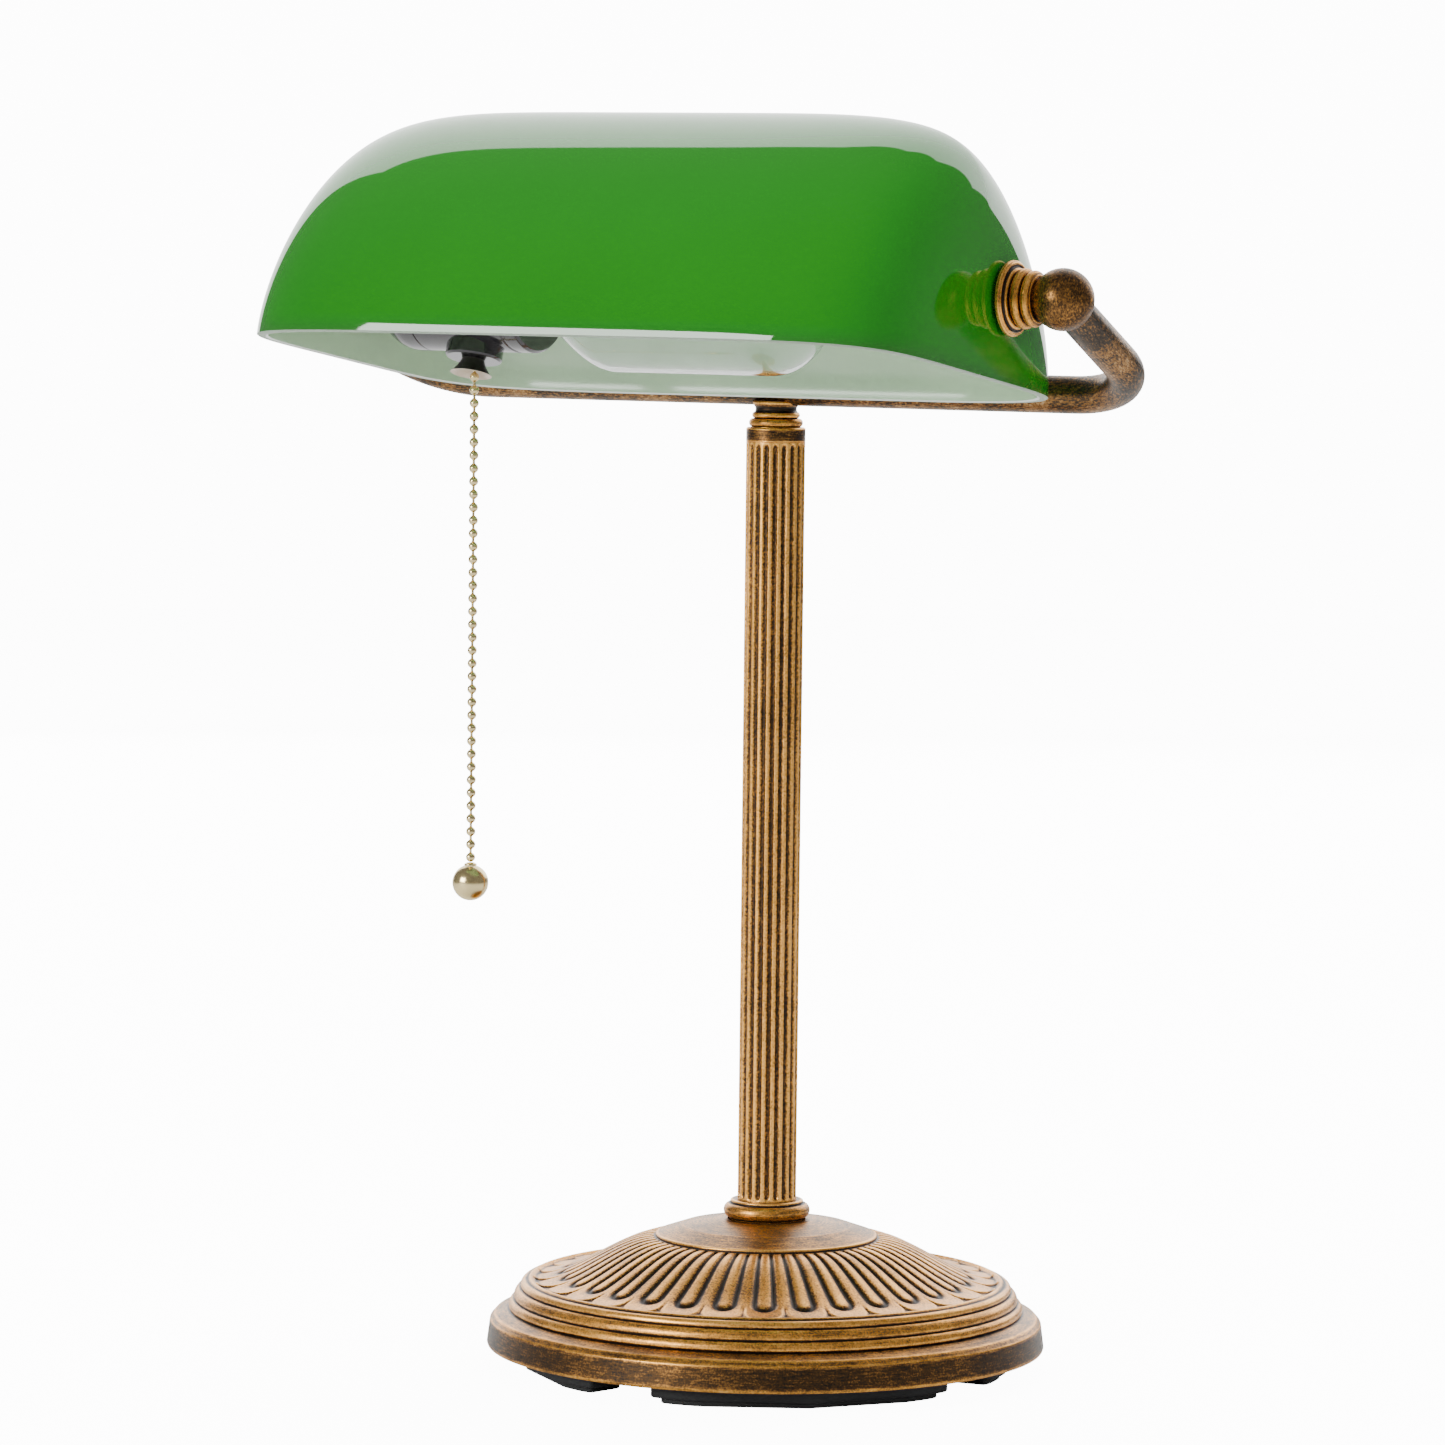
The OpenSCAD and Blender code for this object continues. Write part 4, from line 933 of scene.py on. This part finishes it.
def shade():
    """The cased glass trough: green outside, opal inside, a ground edge with a bright opal lip."""
    tilt = math.radians(8.5)
    half_x, half_y, height, wall, end_power, arch_power = 118.3, 77.4, 82.5, 3.0, 5.8, 1.6
    pivot_back, pivot_up = 14.6, 26.2
    pivot = np.array(PIVOT) / MM
    c, s = math.cos(tilt), math.sin(tilt)
    rim_y = pivot[1] - pivot_back * c - pivot_up * s
    rim_z = pivot[2] + pivot_back * s - pivot_up * c

    def stations():
        """(place along the half length, share of the width), closer together round the corner."""
        out = [(x, (1 - x**end_power) ** (1 / end_power)) for x in np.linspace(0, 0.74, 26)]
        start = math.asin(0.74 ** (end_power / 2))
        for u in np.linspace(start, math.radians(84), 46)[1:]:
            out.append((math.sin(u) ** (2 / end_power), math.cos(u) ** (2 / end_power)))
        last = out[-1][1]
        for k in np.linspace(last, 0.004, 18)[1:]:
            out.append(((1 - k**end_power) ** (1 / end_power), k))
        return out

    half = stations()
    rows = [(-x, k) for x, k in half[::-1]] + half[1:]
    arc = 120
    v = np.linspace(0, math.pi, arc + 1)
    cosv, sinv = np.cos(v), np.clip(np.sin(v), 0, 1)

    def skin(inset, lift=0.0):
        grid = []
        for x, k in rows:
            y = -(half_y - inset) * k * np.sign(cosv) * np.abs(cosv) ** (2 / arch_power)
            z = (height - inset) * k * sinv ** (2 / arch_power) + lift
            grid.append(np.stack([np.full(arc + 1, (half_x - inset) * x), y, z], 1))
        return np.array(grid)

    outer, inner = skin(0), skin(wall)
    n, m = outer.shape[:2]
    rises = [outer[..., 2].reshape(-1), inner[..., 2].reshape(-1)]
    verts = [outer.reshape(-1, 3), inner.reshape(-1, 3)]
    quads = ring_quads(n, m, False, False)
    parts = [(quads[:, ::-1], 0), (quads + n * m, 2)]

    def loop(offset):
        front = [offset + i * m for i in range(n)]
        back = [offset + i * m + m - 1 for i in range(n)]
        return np.array(front + back[::-1])

    insets = [0.35, 1.9, 2.35, 2.75]
    loops, start = [loop(0)], 2 * n * m
    for inset, drop in zip(insets, (-0.3, -0.42, -0.4, -0.25)):
        line = skin(inset)
        pts = np.concatenate([line[:, 0], line[::-1, m - 1]])
        pts[:, 2] = drop
        verts.append(pts)
        rises.append(np.zeros(len(pts)))
        loops.append(np.arange(start, start + len(pts)))
        start += len(pts)
    loops.append(loop(n * m))
    for a, b, index in zip(loops[:-1], loops[1:], (1, 1, 1, 3, 3)):
        a1, b1 = np.roll(a, -1), np.roll(b, -1)
        parts.append((np.stack([a, b, b1, a1], 1), index))
    verts = np.concatenate(verts)
    wear = np.clip(np.concatenate(rises) / 7.0, 0, 1)
    world = verts.copy()
    world[:, 1] = verts[:, 1] * c + verts[:, 2] * s + rim_y
    world[:, 2] = -verts[:, 1] * s + verts[:, 2] * c + rim_z
    faces = np.concatenate([p[0] for p in parts])
    index = np.concatenate([np.full(len(p[0]), p[1]) for p in parts])
    obj = add_mesh("glass_trough", world, faces, "shade", [GREEN, EDGE, OPAL, LIP], None, wear, 55)
    obj.data.polygons.foreach_set("material_index", index.astype(np.int32))
    obj.data.update()
    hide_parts("glass_shade")


# ---------------------------------------------------------------- the CAD pieces shown as they are

SHOWN = {
    "base_ballast": IRON, "base_cover": ENAMEL, "cover_screws": STEEL, "cord_grommet": RUBBER,
    "tie_rod": STEEL, "base_washer": STEEL, "base_nut": STEEL,
    "nipple_left": BRASS, "nipple_right": BRASS,
    "inner_washer_left": STEEL, "inner_washer_right": STEEL,
    "lock_nut_left": STEEL, "lock_nut_right": STEEL,
    "socket_core": CERAMIC, "screw_shell": BRASS, "centre_contact": BRASS, "terminal_screws": BRASS,
    "arm_pin": STEEL, "arm_spring": STEEL, "switch_arm": BRASS, "pull_link": BRASS,
    "bulb_stem": CLEAR, "bulb_filament": WIRE, "bulb_cap": ROLLED, "bulb_insulator": CERAMIC,
    "bulb_contact": STEEL, "shade_grommet_left": RUBBER, "shade_grommet_right": RUBBER,
}


def dress_cad_nodes():
    for name, material in SHOWN.items():
        mesh = frame["nodes"][name].data
        mesh.materials.clear()
        mesh.materials.append(material)
        mesh.polygons.foreach_set("material_index", [0] * len(mesh.polygons))
        mesh.polygons.foreach_set("use_smooth", [True] * len(mesh.polygons))
        mesh.set_sharp_from_angle(angle=math.radians(32))


# ---------------------------------------------------------------- studio


def plain(name, colour, roughness=0.6):
    n = Nodes(name)
    n.set(Base_Color=(*colour, 1), Roughness=roughness, Specular_IOR_Level=0.2)
    return n.material


def sheet_mesh(name, points, material):
    mesh = bpy.data.meshes.new(name)
    mesh.from_pydata(points, [], [tuple(range(len(points)))])
    mesh.materials.append(material)
    obj = bpy.data.objects.new(name, mesh)
    bpy.context.scene.collection.objects.link(obj)
    return obj


def softbox(name, place, aim, wide, tall, power):
    light = bpy.data.lights.new(name, "AREA")
    light.shape = "RECTANGLE"
    light.size, light.size_y, light.energy = wide, tall, power
    obj = bpy.data.objects.new(name, light)
    bpy.context.scene.collection.objects.link(obj)
    obj.location = place
    obj.rotation_mode = "QUATERNION"
    obj.rotation_quaternion = (Vector(aim) - Vector(place)).to_track_quat("-Z", "Y")
    return obj


def glowing(name, strength, colour=(1, 1, 1)):
    n = Nodes(name)
    n.set(Base_Color=(0.86, 0.86, 0.86, 1), Roughness=0.8, Specular_IOR_Level=0.0)
    n.set(Emission_Color=(*colour, 1), Emission_Strength=strength)
    return n.material


def only_seen(obj):
    """Seen by the camera and by nothing else, so that it neither lights the lamp nor shows in it."""
    obj.visible_diffuse = obj.visible_glossy = obj.visible_transmission = obj.visible_shadow = False


def wall(name, radius, low, high, start, stop, material, count=96):
    """A curved upright sheet between two bearings from the front; low and high give its edges by bearing."""
    bearings = np.linspace(start, stop, count + 1)
    x, y = radius * np.sin(np.radians(bearings)), -radius * np.cos(np.radians(bearings))
    verts = np.concatenate([np.stack([x, y, edge(bearings)], 1) for edge in (low, high)])
    faces = [(i, i + 1, i + count + 2, i + count + 1) for i in range(count)]
    mesh = bpy.data.meshes.new(name)
    mesh.from_pydata(verts.tolist(), [], faces)
    mesh.materials.append(material)
    obj = bpy.data.objects.new(name, mesh)
    bpy.context.scene.collection.objects.link(obj)
    return obj


def disc(radius, height):
    turns = np.linspace(0, 2 * math.pi, 96, endpoint=False)
    return [(radius * math.cos(a), radius * math.sin(a), height) for a in turns]


def backdrop():
    """A pale arch behind the lamp that narrows to a corner on the right and steps down on the left."""
    start, stop, peak, top = 148, 246, 187, 4.8
    right_fall, left_fall = 0.041, 0.02
    corner_drop, corner_width = 1.9, 10.5
    step_from, step_width, step_drop = 217, 13, 0.53
    foot_fall, foot_rise, foot_fade = 0.0045, 0.86, 10.4

    def foot_line(bearing):
        return foot_fall * (stop - bearing) + foot_rise * np.exp((start - bearing) / foot_fade)

    def head_line(bearing):
        right_side = np.clip(peak - bearing, 0, None)
        left_side = np.clip(bearing - peak, 0, None)
        corner = np.clip(1 - (bearing - start) / corner_width, 0, 1) ** 2
        step = smooth(np.clip((bearing - step_from) / step_width, 0, 1))
        return top - right_fall * right_side - left_fall * left_side - corner_drop * corner - step_drop * step

    light = glowing("lit_backdrop", 2.6)
    wall("backdrop", 2.6, foot_line, head_line, start, stop, light).visible_camera = False


def surround():
    """A white wall all round, for the camera only."""
    low, high = -0.5, 6.0
    light = glowing("lit_surround", 12.0)
    only_seen(wall("surround", 4.0, lambda b: 0 * b + low, lambda b: 0 * b + high, 0, 360, light))


def studio():
    world = bpy.data.worlds.new("studio")
    bpy.context.scene.world = world
    world.use_nodes = True
    back = world.node_tree.nodes["Background"]
    back.inputs["Color"].default_value = (1, 1, 1, 1)
    back.inputs["Strength"].default_value = 0.26
    only_seen(sheet_mesh("floor", disc(4, 0), glowing("lit_floor", 12.0)))
    bounce = sheet_mesh("floor_bounce", disc(2.6, -0.0005), plain("pale_floor", (0.8, 0.8, 0.8)))
    bounce.visible_camera = False
    backdrop()
    surround()
    softbox("key", (-0.75, -1.75, 0.75), (0, 0, 0.25), 0.9, 0.7, 36)
    softbox("top", (0.0, 0.1, 2.0), (0, 0, 0.1), 0.9, 0.9, 26).visible_glossy = False
    softbox("right", (1.7, -0.7, 0.9), (0, 0, 0.3), 0.7, 0.7, 14).visible_glossy = False


base_casting()
for foot_node in ("foot_front", "foot_right", "foot_back", "foot_left"):
    foot(foot_node)
foot_collar()
pole()
stem_top()
yoke()
for pivot_side, pivot_word in ((-1, "left"), (1, "right")):
    pivot_hardware(pivot_side, pivot_word)
socket()
chain_guide()
chain()
bulb()
shade()
dress_cad_nodes()
studio()
